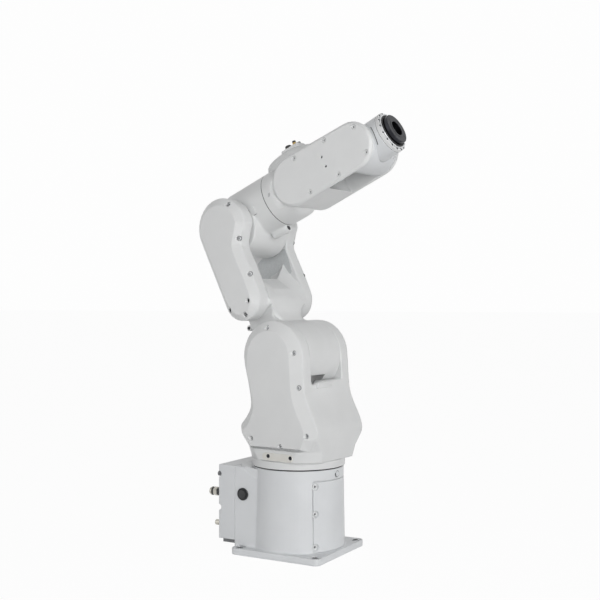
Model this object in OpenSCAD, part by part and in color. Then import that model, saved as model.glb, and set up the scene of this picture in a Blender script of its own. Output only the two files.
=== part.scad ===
// Compact six-axis industrial robot arm: a square-footed base, a turning turret with two round
// cheeks, an open forked lower arm, a forearm that rolls behind the elbow, and a pitching wrist
// that ends in a bolt-circle flange.  Millimetres, Z up, the base foot on Z = 0, +X to the front.

/* [Pose] */
// Turn of the turret about the upright axis, degrees
turn = -5.5; // [-20:0.5:20]
// Backward lean of the lower arm, degrees
lean = 24.4; // [10:0.1:35]
// Rise of the forearm above level, degrees
fore_rise = 22.4; // [10:0.1:35]
// Upward bend of the wrist against the forearm, degrees
wrist_bend = 3.3; // [-10:0.1:10]

/* [Links] */
// Height of the shoulder axis above the floor
shoulder_h = 412; // [406:1:420]
// Shoulder axis forward of the upright axis
shoulder_x = -5; // [-8:0.5:0]
// Shoulder axis to elbow axis
lower_l = 296; // [292:1:310]
// Forearm centre line above the elbow axis
elbow_off = 30.5; // [28:0.5:34]
// Elbow axis to wrist axis, along the forearm
fore_l = 329; // [322:1:350]
// Wrist axis to the face of the tool flange
flange_reach = 84; // [82:1:92]

/* [Base] */
// Width of the square foot
plate_w = 210; // [204:1:230]
// Thickness of the foot
plate_t = 14; // [12:1:18]
// Corner radius of the foot
plate_r = 12; // [6:1:20]
// Spacing of the foot bolts, both ways
bolt_span = 180; // [170:1:184]
// Diameter of the foot bolt holes
bolt_d = 13; // [10:1:14]
// Radius of the round column
column_r = 96; // [92:1:98]
// Height of the base casting
base_h = 181; // [178:1:186]
// Half width of the box behind the column
box_half = 82; // [76:1:86]
// How far the box reaches behind the column
box_reach = 12; // [8:1:20]
// Depth of the connector cover behind the casting
rear_depth = 40; // [34:1:44]
// Wall thickness of the connector cover
cover_wall = 10; // [6:1:12]
// Thickness of the connector cover behind its recess
cover_back = 12; // [8:1:16]
// Half angle covered by the curved front cover, degrees
front_half_angle = 42; // [36:1:46]

/* [Turret] */
// Radius of the turret ring
ring_r = 99; // [97:1:103]
// Height of the turret ring, from the joint line to the body
ring_h = 15; // [12:1:18]
// Inside face of the cheeks, from the middle plane
cheek_in = 57; // [54:0.5:60]
// Seat of the side covers, from the middle plane
cheek_seat = 84; // [80:0.5:88]
// Outer face of the side covers, from the middle plane
cheek_face = 97; // [93:0.5:100]
// Width of the lip that the body stands out over the ring
lip_w = 7; // [5:1:10]
// Height of the body below the side covers
lip_h = 24; // [20:1:28]
// Radius of the cheek tops about the shoulder axis
cheek_r = 75; // [74:0.5:77]
// Radius of the lower arm hub between the cheeks
hub_r = 73.5; // [70:0.5:74]

/* [Lower arm] */
// Inside face of the bars, from the middle plane
bar_in = 66; // [66:0.5:68]
// Seat of the bar covers, from the middle plane
bar_seat = 95; // [90:0.5:98]
// Outer face of the bar covers, from the middle plane
bar_face = 107; // [102:0.5:110]
// Radius of the bar tops about the elbow axis
bar_top_r = 63; // [60:0.5:65]
// Radius of the lower ends of the bars
bar_foot_r = 45.5; // [42:0.5:48]
// Height of the web between the bars, from the shoulder axis
web_top = 180; // [174:1:184]

/* [Forearm] */
// Radius of the elbow hub between the bars
elbow_r = 57; // [52:0.5:58]
// Radius of the elbow tube
tube_r = 61; // [58:0.5:61]
// Elbow axis to the seam where the forearm rolls
roll_seam = 97.4; // [95:0.1:102]
// Radius of the rear end of the forearm covers
fore_rear_r = 53.5; // [50:0.5:54]
// Radius of the front end of the forearm covers
fore_front_r = 50; // [46:0.5:51]
// Centre of the rear end of the covers, from the elbow axis
fore_rear_s = 176; // [172:1:184]
// Inside face of the fork, from the middle plane
fork_in = 46; // [46:0.5:47]
// Outer face of the forearm covers, from the middle plane
fore_face = 56.5; // [55:0.5:57]
// Radius of the round room for the wrist in the fork
wrist_room = 95; // [92:0.5:100]
// Length of the connector hump, from the roll seam
hump_l = 126; // [116:1:130]
// Top of the connector hump above the elbow axis
hump_top = 114; // [108:1:118]

/* [Wrist] */
// Radius of the wrist body
nose_r = 43; // [40:0.5:43]
// Wrist axis to the rim of the wrist body
nose_rim = 67; // [64:0.5:70]
// Radius of the seal ring around the flange
seal_r = 39; // [37:0.5:40]
// Radius of the tool flange
flange_r = 31.5; // [30:0.5:32]
// Bolt circle of the tool flange
flange_pcd = 50; // [46:0.5:51]
// Radius of the bore of the tool flange
flange_bore_r = 15.75; // [12:0.25:16]

/* [Hidden] */
// Running gap at bearing faces and sliding rings
gap = 0.3;
// Height of the joint line gap under the turret
joint_gap = 3;
// Clearance of the swinging pieces from what they pass
clear = 5;
box_back = column_r + box_reach;
front_from = plate_t + 2;
front_to = base_h - 23;
ring_bottom = base_h + joint_gap;
lip_z = ring_bottom + ring_h;
seam_z = lip_z + lip_h;
swing_h = shoulder_h - lip_z;
bowl_x = 0.13 * cheek_r;
bowl_r = ring_r + lip_w;
spigot_r = 0.62 * column_r;
bar_foot = [-0.33 * bar_foot_r, 0.765 * web_top];
bar_top = [-0.06 * bar_top_r, lower_l + 0.06 * bar_top_r];
wall_z = shoulder_h - 0.66 * cheek_r;
fork_seat = fork_in + 4;
// Facets of a drawn circle
$fn = 64;

// Name of the sub-part to draw, or all of them

// Points of an arc about a centre, from one angle to another.
function arc(centre, r, from, to, steps) = [
  for (i = [0:steps])
    centre + r * [cos(from + (to - from) * i / steps), sin(from + (to - from) * i / steps)]
];

// Curve through b and c with a and d as neighbours, at the share t of the way.
function spline_at(a, b, c, d, t) =
  0.5 * (2 * b + (c - a) * t + (2 * a - 5 * b + 4 * c - d) * t * t
    + (3 * b - a - 3 * c + d) * t * t * t);

// Smooth run of points through a list, ends included.
function smooth(points, steps) = concat(
  [for (k = [0:len(points) - 2], i = [0:steps - 1])
    spline_at(points[max(k - 1, 0)], points[k], points[k + 1],
      points[min(k + 2, len(points) - 1)], i / steps)],
  [points[len(points) - 1]]
);

// Unit vector of a direction in the plane.
function unit(v) = v / norm(v);

// Inward normal at a corner of a counter-clockwise loop, long enough for a unit inset.
function corner_normal(before, here, after) =
  let (
    a = unit(here - before),
    b = unit(after - here),
    na = [-a[1], a[0]],
    nb = [-b[1], b[0]],
    m = na + nb
  ) m * 2 / max(m * m, 1.2);

// Loop moved inward, by one distance where it faces front, another at the back, a third below.
function inset(loop, front, back, below) = [
  for (i = [0:len(loop) - 1])
    let (
      n = len(loop),
      c = corner_normal(loop[(i + n - 1) % n], loop[i], loop[(i + 1) % n]),
      share = (1 - unit(c)[0]) / 2,
      down = max(unit(c)[1], 0)
    ) loop[i] + c * ((back + (front - back) * share) * (1 - down) + below * down)
];

// Plane loop as points at a distance y from the middle plane.
function at_y(loop, y) = [for (p = loop) [p[0], y, p[1]]];

// Solid through a row of loops that all have the same number of points.
module loft(loops) {
  n = len(loops[0]);
  last = len(loops) - 1;
  polyhedron(
    points = [for (loop = loops) each loop],
    faces = concat(
      [[for (i = [0:n - 1]) i]],
      [for (k = [0:last - 1], i = [0:n - 1])
        [k * n + i, (k + 1) * n + i, (k + 1) * n + (i + 1) % n]],
      [for (k = [0:last - 1], i = [0:n - 1])
        [k * n + i, (k + 1) * n + (i + 1) % n, k * n + (i + 1) % n]],
      [[for (i = [n - 1:-1:0]) last * n + i]]
    )
  );
}

// Bevelled side cover on the right (negative Y) side: a flat seat, a rim and a smaller face.
module bevel_cover(loop, seat, rim, face, front, back, below) {
  loft([at_y(loop, -seat), at_y(loop, -rim), at_y(inset(loop, front, back, below), -face)]);
}

// Extrusion of a plane figure in X and Z, from one Y to another.
module along_y(from, to) {
  translate([0, to, 0])
    rotate([90, 0, 0])
      linear_extrude(to - from)
        children();
}

// Round bar along Y.
module bar_y(r, from, to) {
  along_y(from, to)
    circle(r);
}

// Round bar along X.
module bar_x(r, from, to) {
  translate([from, 0, 0])
    rotate([0, 90, 0])
      cylinder(r = r, h = to - from);
}

// Round-cornered rectangle about the origin.
module round_rect(w, h, r) {
  square([w - 2 * r, h], center = true);
  square([w, h - 2 * r], center = true);
  for (sx = [-1, 1], sy = [-1, 1])
    translate([sx * (w / 2 - r), sy * (h / 2 - r)])
      circle(r);
}

// Frame that turns with the turret.
module turret_frame() {
  rotate([0, 0, turn])
    children();
}

// Frame of the lower arm: origin on the shoulder axis, +Z along the arm.
module arm_frame() {
  turret_frame()
    translate([shoulder_x, 0, shoulder_h])
      rotate([0, -lean, 0])
        children();
}

// Frame of the forearm: origin on the elbow axis, +X along the forearm.
module fore_frame() {
  arm_frame()
    translate([0, 0, lower_l])
      rotate([0, lean - fore_rise, 0])
        children();
}

// Frame of the wrist: origin on the wrist axis, +X to the flange.
module wrist_frame() {
  fore_frame()
    translate([fore_l, 0, elbow_off])
      rotate([0, -wrist_bend, 0])
        children();
}

// Outline of the turret's side covers, in X and Z.
function swing_loop() = concat(
  [[1.37 * cheek_r, seam_z]],
  smooth([
    swing_at(1.41, 0.225), swing_at(1.42, 0.317), swing_at(1.30, 0.427), swing_at(1.13, 0.545),
    swing_at(1.02, 0.655), swing_at(0.97, 0.80)
  ], 3),
  arc([shoulder_x, shoulder_h], cheek_r, 0, 180, 20),
  smooth([
    swing_at(-1.03, 0.90), swing_at(-0.93, 0.77), swing_at(-0.86, 0.655), swing_at(-0.82, 0.55),
    swing_at(-0.86, 0.47), swing_at(-1.02, 0.385), swing_at(-1.17, 0.317), swing_at(-1.13, 0.225)
  ], 3),
  [[-1.04 * cheek_r, seam_z]]
);

// Point of that outline: X in cheek radii, height as a share of lip to shoulder axis.
function swing_at(x, share) = [x * cheek_r, lip_z + share * swing_h];

// Radius of the bowl at a height above the seam.
function bowl_at(z) = bowl_r + 6 + 38 * min((z - seam_z) / (0.3 * swing_h), 1);

// Loop at a distance y from the middle plane, held inside the bowl.
function in_bowl(loop, y) = [
  for (p = loop)
    let (half = sqrt(pow(bowl_at(p[1]), 2) - y * y))
      [min(max(p[0], bowl_x - half), bowl_x + half), p[1]]
];

// Round bowl that the lower part of the turret is turned to, a little forward of the axis.
module bowl() {
  translate([bowl_x, 0, lip_z])
    cylinder(r1 = bowl_r, r2 = bowl_r + 6, h = lip_h);
  translate([bowl_x, 0, seam_z])
    cylinder(r1 = bowl_r + 6, r2 = bowl_r + 44, h = 0.3 * swing_h);
  translate([bowl_x, 0, seam_z + 0.3 * swing_h])
    cylinder(r = bowl_r + 44, h = swing_h + cheek_r);
}

// Outline of the lower arm's bars at the cover seat, in the lower arm frame.
function bar_loop() = concat(
  arc(bar_foot, bar_foot_r, 180, 360, 14),
  smooth([
    [bar_foot[0] + bar_foot_r, 0.60 * lower_l], [0.45 * bar_top_r, 0.75 * lower_l],
    [0.46 * bar_top_r, 0.83 * lower_l], [0.63 * bar_top_r, 0.885 * lower_l],
    [0.79 * bar_top_r, 0.93 * lower_l]
  ], 3),
  arc(bar_top, bar_top_r, -16, 180, 20)
);

// Outline of the forearm's side covers, in the forearm frame.
function fore_loop() = concat(
  arc([fore_rear_s, elbow_off], fore_rear_r, 90, 270, 16),
  arc([fore_l, elbow_off], fore_front_r, -90, 90, 16)
);

// Cast base: square foot with bolt holes, round column and the box behind it.
module base_casting() {
  color("white")
    difference() {
      union() {
        linear_extrude(plate_t)
          round_rect(plate_w, plate_w, plate_r);
        cylinder(r1 = column_r + 3, r2 = column_r, h = base_h);
        difference() {
          translate([-box_back, -box_half, 0])
            cube([box_back, 2 * box_half, base_h]);
          translate([0, 0, base_h - 23])
            cylinder(r1 = column_r, r2 = column_r + 26, h = 23.01);
        }
      }
      foot_corners()
        translate([0, 0, -1])
          cylinder(d = bolt_d, h = plate_t + 2);
      foot_corners()
        translate([0, 0, plate_t - 2])
          cylinder(d = 2 * bolt_d, h = plate_t + 2);
      front_sector(front_half_angle + 0.25, column_r - 6, front_from - gap, front_to + gap, 9);
      plug_frame()
        bar_x(7.3, 0, 20);
      translate([0, 0, base_h - 8])
        cylinder(r = spigot_r, h = 10);
      button_frame()
        bar_y(11.3, 0, 9);
    }
}

// Places of the four foot bolts.
module foot_corners() {
  for (sx = [-1, 1], sy = [-1, 1])
    translate([sx * bolt_span / 2, sy * bolt_span / 2, 0])
      children();
}

// Place of the round plug above the front cover.
module plug_frame() {
  rotate([0, 0, -3])
    translate([column_r - 6, 0, base_h - 11])
      children();
}

// Place of the lock release button on the right side of the box.
module button_frame() {
  translate([21 - box_back, -box_half, 0.68 * base_h])
    children();
}

// Place on the rear connector panel, at a share of the half width and of the height.
module panel_frame(across, up) {
  translate([-box_back - cover_back - 2, across * box_half, up * base_h])
    children();
}

// Wedge of a tapering ring on the front of the column, standing out from it by a distance.
module front_sector(half, inner, from, to, out) {
  rotate([0, 0, -half])
    rotate_extrude(angle = 2 * half)
      polygon([
        [inner, from], [column_r + 3 - 3 * from / base_h + out, from],
        [column_r + 3 - 3 * to / base_h + out, to], [inner, to]
      ]);
}

// Curved cover let into the front of the column.
module base_front_cover() {
  color("white")
    front_sector(front_half_angle, column_r - 5.9, front_from, front_to, 0);
}

// Cover behind the base box that carries the connectors, open at the back.
module rear_connector_cover() {
  color("white")
    difference() {
      translate([-box_back - rear_depth, -box_half, plate_t + 11])
        cube([rear_depth, 2 * box_half, base_h - plate_t - 11]);
      translate([-box_back - rear_depth - 1, cover_wall - box_half, plate_t + 11 + cover_wall])
        cube([
          rear_depth - cover_back + 1, 2 * (box_half - cover_wall),
          base_h - plate_t - 11 - 2 * cover_wall
        ]);
      for (up = [0.50, 0.89])
        translate([-box_back - rear_depth, -box_half, up * base_h])
          bar_y(6, -1, cover_wall + 1);
    }
}

// Panel at the bottom of the connector recess.
module rear_connector_panel() {
  color("gray")
    translate([
      -box_back - cover_back - 2, cover_wall + 1 - box_half, plate_t + 12 + cover_wall
    ])
      cube([2, 2 * (box_half - cover_wall - 1), base_h - plate_t - 13 - 2 * cover_wall]);
}

// Dark block under the connector cover.
module rear_cable_block() {
  color("black")
    translate([-box_back - 0.8 * rear_depth, -0.94 * box_half, plate_t + 3])
      cube([0.8 * rear_depth, 1.88 * box_half, 8]);
}

// Large round power connector on the rear panel: flange, threaded shell and lock ring.
module power_connector() {
  color("silver")
    panel_frame(0.40, 0.61)
      difference() {
        union() {
          bar_x(20, -4, 0);
          bar_x(16, -26, -4);
          bar_x(18, -18, -10);
        }
        bar_x(13, -27, -8);
      }
}

// Small round signal connector on the rear panel, with its straight plug shell.
module signal_connector() {
  color("silver")
    panel_frame(-0.69, 0.65) {
      bar_x(12, -4, 0);
      bar_x(8, -1.6 * rear_depth, -4);
      bar_x(9.5, -1.5 * rear_depth, -1.1 * rear_depth);
      bar_x(11, -0.6 * rear_depth, -0.3 * rear_depth);
    }
}

// Row of push-in air fittings on the rear panel.
module base_air_fittings() {
  color("silver")
    for (i = [0:3])
      panel_frame(-0.66 + 0.28 * i, 0.28)
        difference() {
          union() {
            bar_x(7, -0.9 * rear_depth, 0);
            bar_x(6, -1.3 * rear_depth, -0.9 * rear_depth);
          }
          bar_x(3, -1.4 * rear_depth, -rear_depth);
        }
}

// Push button that lets the brakes go, on the right side of the box.
module brake_button() {
  color("black")
    button_frame() {
      bar_y(11, 0, 8);
      bar_y(13, -3, 0);
      bar_y(9.5, -6, -3);
    }
}

// Round plug above the front cover.
module front_plug() {
  color("black")
    plug_frame()
      bar_x(7, 0.2, 7.5);
}

// Ring on the joint line that carries the turret body.
module swing_ring() {
  color("white")
    turret_frame() {
      translate([0, 0, ring_bottom])
        cylinder(r = ring_r, h = lip_z - ring_bottom);
      translate([0, 0, base_h - 8 + gap])
        cylinder(r = spigot_r - gap, h = joint_gap + 8);
    }
}

// Cast turret body: a round bowl, two round cheeks and a low wall with a stop pad in front.
module swing_casting() {
  color("white")
    turret_frame()
      difference() {
        intersection() {
          union() {
            along_y(-cheek_seat, cheek_seat)
              polygon(swing_loop());
            along_y(-cheek_face - 1, cheek_face + 1)
              polygon([
                [-1.04 * cheek_r, seam_z], [-0.96 * cheek_r, lip_z], [1.32 * cheek_r, lip_z],
                [1.37 * cheek_r, seam_z]
              ]);
            along_y(-0.52 * cheek_in, 0.14 * cheek_in)
              polygon([
                [0.75 * cheek_r, wall_z - 12], [1.035 * cheek_r, wall_z - 11],
                [1.035 * cheek_r, wall_z - 3], [0.98 * cheek_r, wall_z + 1], [0.75 * cheek_r, wall_z + 1]
              ]);
          }
          bowl();
        }
        along_y(-cheek_in, cheek_in) {
          translate([shoulder_x, shoulder_h])
            circle(hub_r + clear);
          translate([-2 * cheek_r, shoulder_h - hub_r - 2])
            square([2 * cheek_r, 3 * cheek_r]);
          translate([0, wall_z])
            square([2 * cheek_r, 3 * cheek_r]);
        }
      }
}

// Bevelled cover over the drive on one side of the turret.
module swing_cover() {
  loft([
    at_y(in_bowl(swing_loop(), cheek_seat), -cheek_seat),
    at_y(in_bowl(swing_loop(), cheek_seat + 1), -cheek_seat - 1),
    at_y(in_bowl(inset(swing_loop(), 26, 17, 0), cheek_face), -cheek_face)
  ]);
}

// Side cover of the turret, right side.
module swing_right_cover() {
  color("white")
    turret_frame()
      swing_cover();
}

// Side cover of the turret, left side.
module swing_left_cover() {
  color("white")
    turret_frame()
      mirror([0, 1, 0])
        swing_cover();
}

// Blank plate over the stop adjuster, low on the right side of the turret.
module stop_cover() {
  color("beige")
    turret_frame()
      translate([bowl_x - 30, -cheek_face - 3, lip_z + 2])
        cube([76, 2, lip_h - 8]);
}

// Profile of the web between the bars: level top, front that slopes down to the neck.
function web_front() = [
  [-0.76 * hub_r, 0.96 * web_top], [-0.76 * hub_r, 0.70 * web_top], [-0.61 * hub_r, 0.62 * web_top],
  [-0.10 * hub_r, 0.56 * web_top], [0.36 * hub_r, 0.60 * web_top], [0.42 * hub_r, 0.66 * web_top],
  [0.33 * hub_r, 0.805 * web_top], [0.16 * hub_r, 0.917 * web_top], [0.03 * hub_r, web_top],
  [-0.55 * hub_r, 0.978 * web_top]
];

// Cast lower arm: hub between the cheeks, a short neck, a sloping web and two side bars.
module lower_arm_casting() {
  color("white")
    arm_frame() {
      bar_y(hub_r, 1.5 - cheek_in, cheek_in - 1.5);
      bar_y(0.64 * hub_r, gap - cheek_in, cheek_in - gap);
      along_y(clear - cheek_in, cheek_in - clear)
        polygon([
          [-0.76 * hub_r, 0], [0.14 * hub_r, 0], [0.36 * hub_r, 0.90 * hub_r],
          [0.24 * hub_r, hub_r + 4], [0.17 * hub_r, hub_r + 14], [0.27 * hub_r, 0.55 * web_top],
          [0.30 * hub_r, 0.64 * web_top], [0.20 * hub_r, 0.82 * web_top], [-0.70 * hub_r, 0.82 * web_top],
          [-0.70 * hub_r, hub_r]
        ]);
      along_y(-bar_in, bar_in)
        polygon(web_front());
      for (side = [0, 1])
        mirror([0, side, 0]) {
          along_y(-bar_seat, -bar_in)
            polygon(bar_loop());
          translate([-0.50 * hub_r, 0, 0])
            rotate([90, 0, 90])
              linear_extrude(0.55 * hub_r)
                polygon([
                  [-1.09 * bar_in, 0.88 * web_top], [-0.55 * bar_in, 0.93 * web_top],
                  [-1.09 * bar_in, 1.18 * web_top]
                ]);
        }
    }
}

// Bevelled cover over one bar of the lower arm.
module bar_cover() {
  bevel_cover(bar_loop(), bar_seat, bar_seat + 1, bar_face, 18, 12, 13);
}

// Side cover of the lower arm, right side.
module lower_arm_right_cover() {
  color("white")
    arm_frame()
      bar_cover();
}

// Side cover of the lower arm, left side.
module lower_arm_left_cover() {
  color("white")
    arm_frame()
      mirror([0, 1, 0])
        bar_cover();
}

// Cast elbow: hub between the bars and the round tube that carries the forearm.
module elbow_casting() {
  color("white")
    fore_frame()
      difference() {
        union() {
          bar_y(elbow_r, 6 - bar_in, bar_in - 6);
          bar_y(0.7 * elbow_r, gap - bar_in, bar_in - gap);
          translate([0, 0, elbow_off]) {
            bar_x(tube_r, -10, roll_seam);
            translate([0, 0, -tube_r - 5])
              bar_x(0.15 * tube_r, 0.55 * roll_seam, roll_seam - 3);
          }
        }
        translate([0, 0, elbow_off])
          bar_x(0.56 * tube_r, roll_seam - 12, roll_seam + 1);
      }
}

// Domed cap on the back of the elbow.
module elbow_rear_cap() {
  color("white")
    fore_frame()
      difference() {
        translate([0, 0, elbow_off])
          rotate([0, -90, 0])
            translate([0, 0, 10])
              cylinder(r1 = tube_r, r2 = 0.64 * tube_r, h = 0.72 * tube_r);
        bar_y(elbow_r + 0.1, -2 * tube_r, 2 * tube_r);
      }
}

// Arch across the forearm at a distance s: half width, foot and top, in Y and Z.
function arch(s, half, foot, top) = concat(
  [[s, half, foot]],
  [for (p = arc([0, 0], half, 0, 180, 12)) [s, p[0], top + 0.6 * (p[1] - half)]],
  [[s, -half, foot]]
);

// Cast forearm: roll ring, long body, connector hump and the fork that holds the wrist.
module forearm_casting() {
  color("white")
    fore_frame()
      difference() {
        union() {
          along_y(-fork_seat, fork_seat)
            polygon(fore_loop());
          translate([0, 0, elbow_off]) {
            bar_x(tube_r, roll_seam + 1.2, roll_seam + 20);
            bar_x(0.56 * tube_r - gap, roll_seam - 12 + gap, roll_seam + 20);
            translate([roll_seam + 20, 0, 0])
              rotate([0, 90, 0])
                cylinder(r1 = tube_r, r2 = fork_seat, h = 0.66 * tube_r);
          }
          loft([
            for (k = [
              [0.09, 16, 0.62], [0.13, 19, 0.74], [0.22, 22, 0.90], [0.34, 26, 0.99],
              [0.50, 29, 1], [0.66, 30, 0.97], [0.84, 29, 0.88], [1, 26, 0.74]
            ])
              arch(roll_seam + k[0] * hump_l, k[1], elbow_off + 0.7 * fore_front_r,
                elbow_off + fore_front_r + (hump_top - elbow_off - fore_front_r) * (k[2] * 1.6 - 0.6))
          ]);
        }
        along_y(-fork_in, fork_in) {
          translate([fore_l, elbow_off])
            circle(wrist_room);
          translate([fore_l, elbow_off - 2 * fore_front_r])
            square([2 * fore_front_r, 4 * fore_front_r]);
        }
        for (side = [0, 1])
          mirror([0, side, 0])
            along_y(-2 * tube_r, -fork_seat)
              polygon(inset(fore_loop(), -gap, -gap, -gap));
      }
}

// Oblong bevelled cover on one side of the forearm.
module fore_cover() {
  bevel_cover(fore_loop(), fork_seat, fork_seat + 2, fore_face, 5, 5, 5);
}

// Side cover of the forearm, right side.
module forearm_right_cover() {
  color("white")
    fore_frame()
      fore_cover();
}

// Side cover of the forearm, left side.
module forearm_left_cover() {
  color("white")
    fore_frame()
      mirror([0, 1, 0])
        fore_cover();
}

// Flat plate on top of the hump that carries the tool connections.
module forearm_connector_plate() {
  color("gray")
    fore_frame()
      translate([roll_seam + 0.58 * hump_l, 0, hump_top])
        linear_extrude(3)
          round_rect(0.42 * hump_l, 34, 6);
}

// Round signal connector on the hump.
module forearm_signal_connector() {
  color("gray")
    fore_frame()
      translate([roll_seam + 0.50 * hump_l, 0, hump_top + 3]) {
        cylinder(r = 9, h = 3);
        cylinder(r = 7, h = 10);
      }
}

// Push-in air fittings on the hump.
module forearm_air_fittings() {
  color("silver")
    fore_frame()
      for (i = [-1, 1])
        translate([roll_seam + 0.68 * hump_l, 9 * i, hump_top + 3])
          cylinder(r = 4.5, h = 9);
}

// Cast wrist: hub in the fork and the round nose.
module wrist_casting() {
  color("white")
    wrist_frame()
      difference() {
        union() {
          bar_y(0.95 * nose_r, clear - fork_in, fork_in - clear);
          bar_y(0.65 * nose_r, gap - fork_in, fork_in - gap);
          bar_x(nose_r, 0, nose_rim - 5);
        }
        bar_x(flange_r + 1, nose_rim - 20, nose_rim);
      }
}

// Ring bolted to the nose around the flange.
module wrist_clamp_ring() {
  color("white")
    wrist_frame()
      difference() {
        bar_x(nose_r, nose_rim - 5, nose_rim);
        bar_x(flange_r + 1, nose_rim - 6, nose_rim + 1);
      }
}

// Black seal ring around the flange.
module wrist_seal_ring() {
  color("black")
    wrist_frame()
      difference() {
        bar_x(seal_r, nose_rim, nose_rim + 7);
        bar_x(flange_r - 0.7, nose_rim - 1, nose_rim + 8);
      }
}

// Tool flange: disc with a bore, four tapped holes and a stub inside the seal.
module tool_flange() {
  color("black")
    wrist_frame()
      difference() {
        union() {
          bar_x(flange_r, nose_rim + 7 + gap, flange_reach);
          bar_x(flange_r - 1, nose_rim - 18, flange_reach - 1);
        }
        bar_x(flange_bore_r, flange_reach - 12, flange_reach + 1);
        for (i = [0:3])
          rotate([45 + 90 * i, 0, 0])
            translate([0, 0, flange_pcd / 2])
              bar_x(3, flange_reach - 10, flange_reach + 1);
      }
}

base_casting();
base_front_cover();
rear_connector_cover();
rear_connector_panel();
rear_cable_block();
power_connector();
signal_connector();
base_air_fittings();
brake_button();
front_plug();
swing_ring();
swing_casting();
swing_right_cover();
swing_left_cover();
stop_cover();
lower_arm_casting();
lower_arm_right_cover();
lower_arm_left_cover();
elbow_casting();
elbow_rear_cap();
forearm_casting();
forearm_right_cover();
forearm_left_cover();
forearm_connector_plate();
forearm_signal_connector();
forearm_air_fittings();
wrist_casting();
wrist_clamp_ring();
wrist_seal_ring();
tool_flange();
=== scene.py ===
"""Dress a compact six-axis robot arm: enamelled castings, bevelled covers, screws and connectors.

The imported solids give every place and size.  Castings and covers are softened copies of their
solids, because a real casting has no sharp edge, and small hardware is turned or lofted here.
"""

from __future__ import annotations

import logging
import math
from dataclasses import dataclass
from enum import Enum
from typing import Sequence

import bmesh
import bpy
from mathutils import Matrix, Vector


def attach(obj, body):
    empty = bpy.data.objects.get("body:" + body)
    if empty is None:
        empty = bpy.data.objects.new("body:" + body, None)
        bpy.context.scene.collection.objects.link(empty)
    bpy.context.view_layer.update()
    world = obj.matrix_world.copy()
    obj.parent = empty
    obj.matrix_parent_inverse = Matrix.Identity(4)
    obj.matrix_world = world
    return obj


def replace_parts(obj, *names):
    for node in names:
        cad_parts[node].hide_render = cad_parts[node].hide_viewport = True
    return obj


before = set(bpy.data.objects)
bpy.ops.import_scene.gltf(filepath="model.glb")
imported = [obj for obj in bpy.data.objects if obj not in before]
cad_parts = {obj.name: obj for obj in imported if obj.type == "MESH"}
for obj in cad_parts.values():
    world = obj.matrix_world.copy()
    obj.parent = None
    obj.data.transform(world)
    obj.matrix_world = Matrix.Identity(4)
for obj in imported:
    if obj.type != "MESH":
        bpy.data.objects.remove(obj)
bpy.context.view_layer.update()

LOG = logging.getLogger("robot_arm")
MM = 0.001

Point2 = tuple[float, float]
Point3 = tuple[float, float, float]
Loop = list[Vector]


class Axis(Enum):
    """Direction that a turned or screwed piece points, in the frame it is placed in."""

    RIGHT = (0.0, -1.0, 0.0)
    LEFT = (0.0, 1.0, 0.0)
    FRONT = (1.0, 0.0, 0.0)
    BACK = (-1.0, 0.0, 0.0)
    UP = (0.0, 0.0, 1.0)


SIDES = ((-1, Axis.RIGHT), (1, Axis.LEFT))

# Shares of a drifting pattern between which its colour goes from shade to base.
DRIFT_BAND = (0.35, 0.65)
COAT_ROUGH = 0.25
WHITE = (1.0, 1.0, 1.0, 1.0)
# Points round the turned pieces of the wrist.
ROUND = 96

def linear(code: str) -> tuple[float, float, float, float]:
    """Turn an sRGB hex colour into linear values.

    Args:
        code: Six hex digits, with or without a leading hash.

    Returns:
        Red, green, blue and alpha, linear.
    """
    digits = code.lstrip("#")
    values = []
    for start in (0, 2, 4):
        part = int(digits[start : start + 2], 16) / 255
        values.append(part / 12.92 if part <= 0.04045 else ((part + 0.055) / 1.055) ** 2.4)
    return values[0], values[1], values[2], 1.0


def per_metre(size_mm: float) -> float:
    """Give the texture scale at which one pattern cell measures a size in millimetres."""
    return 1 / (size_mm * MM)


def add(
    tree: bpy.types.NodeTree, kind: str, links: dict[str, object] | None = None, **settings: object
) -> bpy.types.Node:
    """Add one shader node, with its settings and what feeds it.

    Args:
        tree: Node tree to add to.
        kind: Blender's node type name, after its leading ShaderNode.
        links: Input name to an output socket, or to a plain value.
        settings: Attributes of the node itself.

    Returns:
        The new node.
    """
    node = tree.nodes.new("ShaderNode" + kind)
    for key, value in settings.items():
        setattr(node, key, value)
    for key, value in (links or {}).items():
        socket = node.inputs[int(key)] if key.isdigit() else node.inputs[key]
        if isinstance(value, bpy.types.NodeSocket):
            tree.links.new(value, socket)
        else:
            socket.default_value = value
    return node


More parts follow.
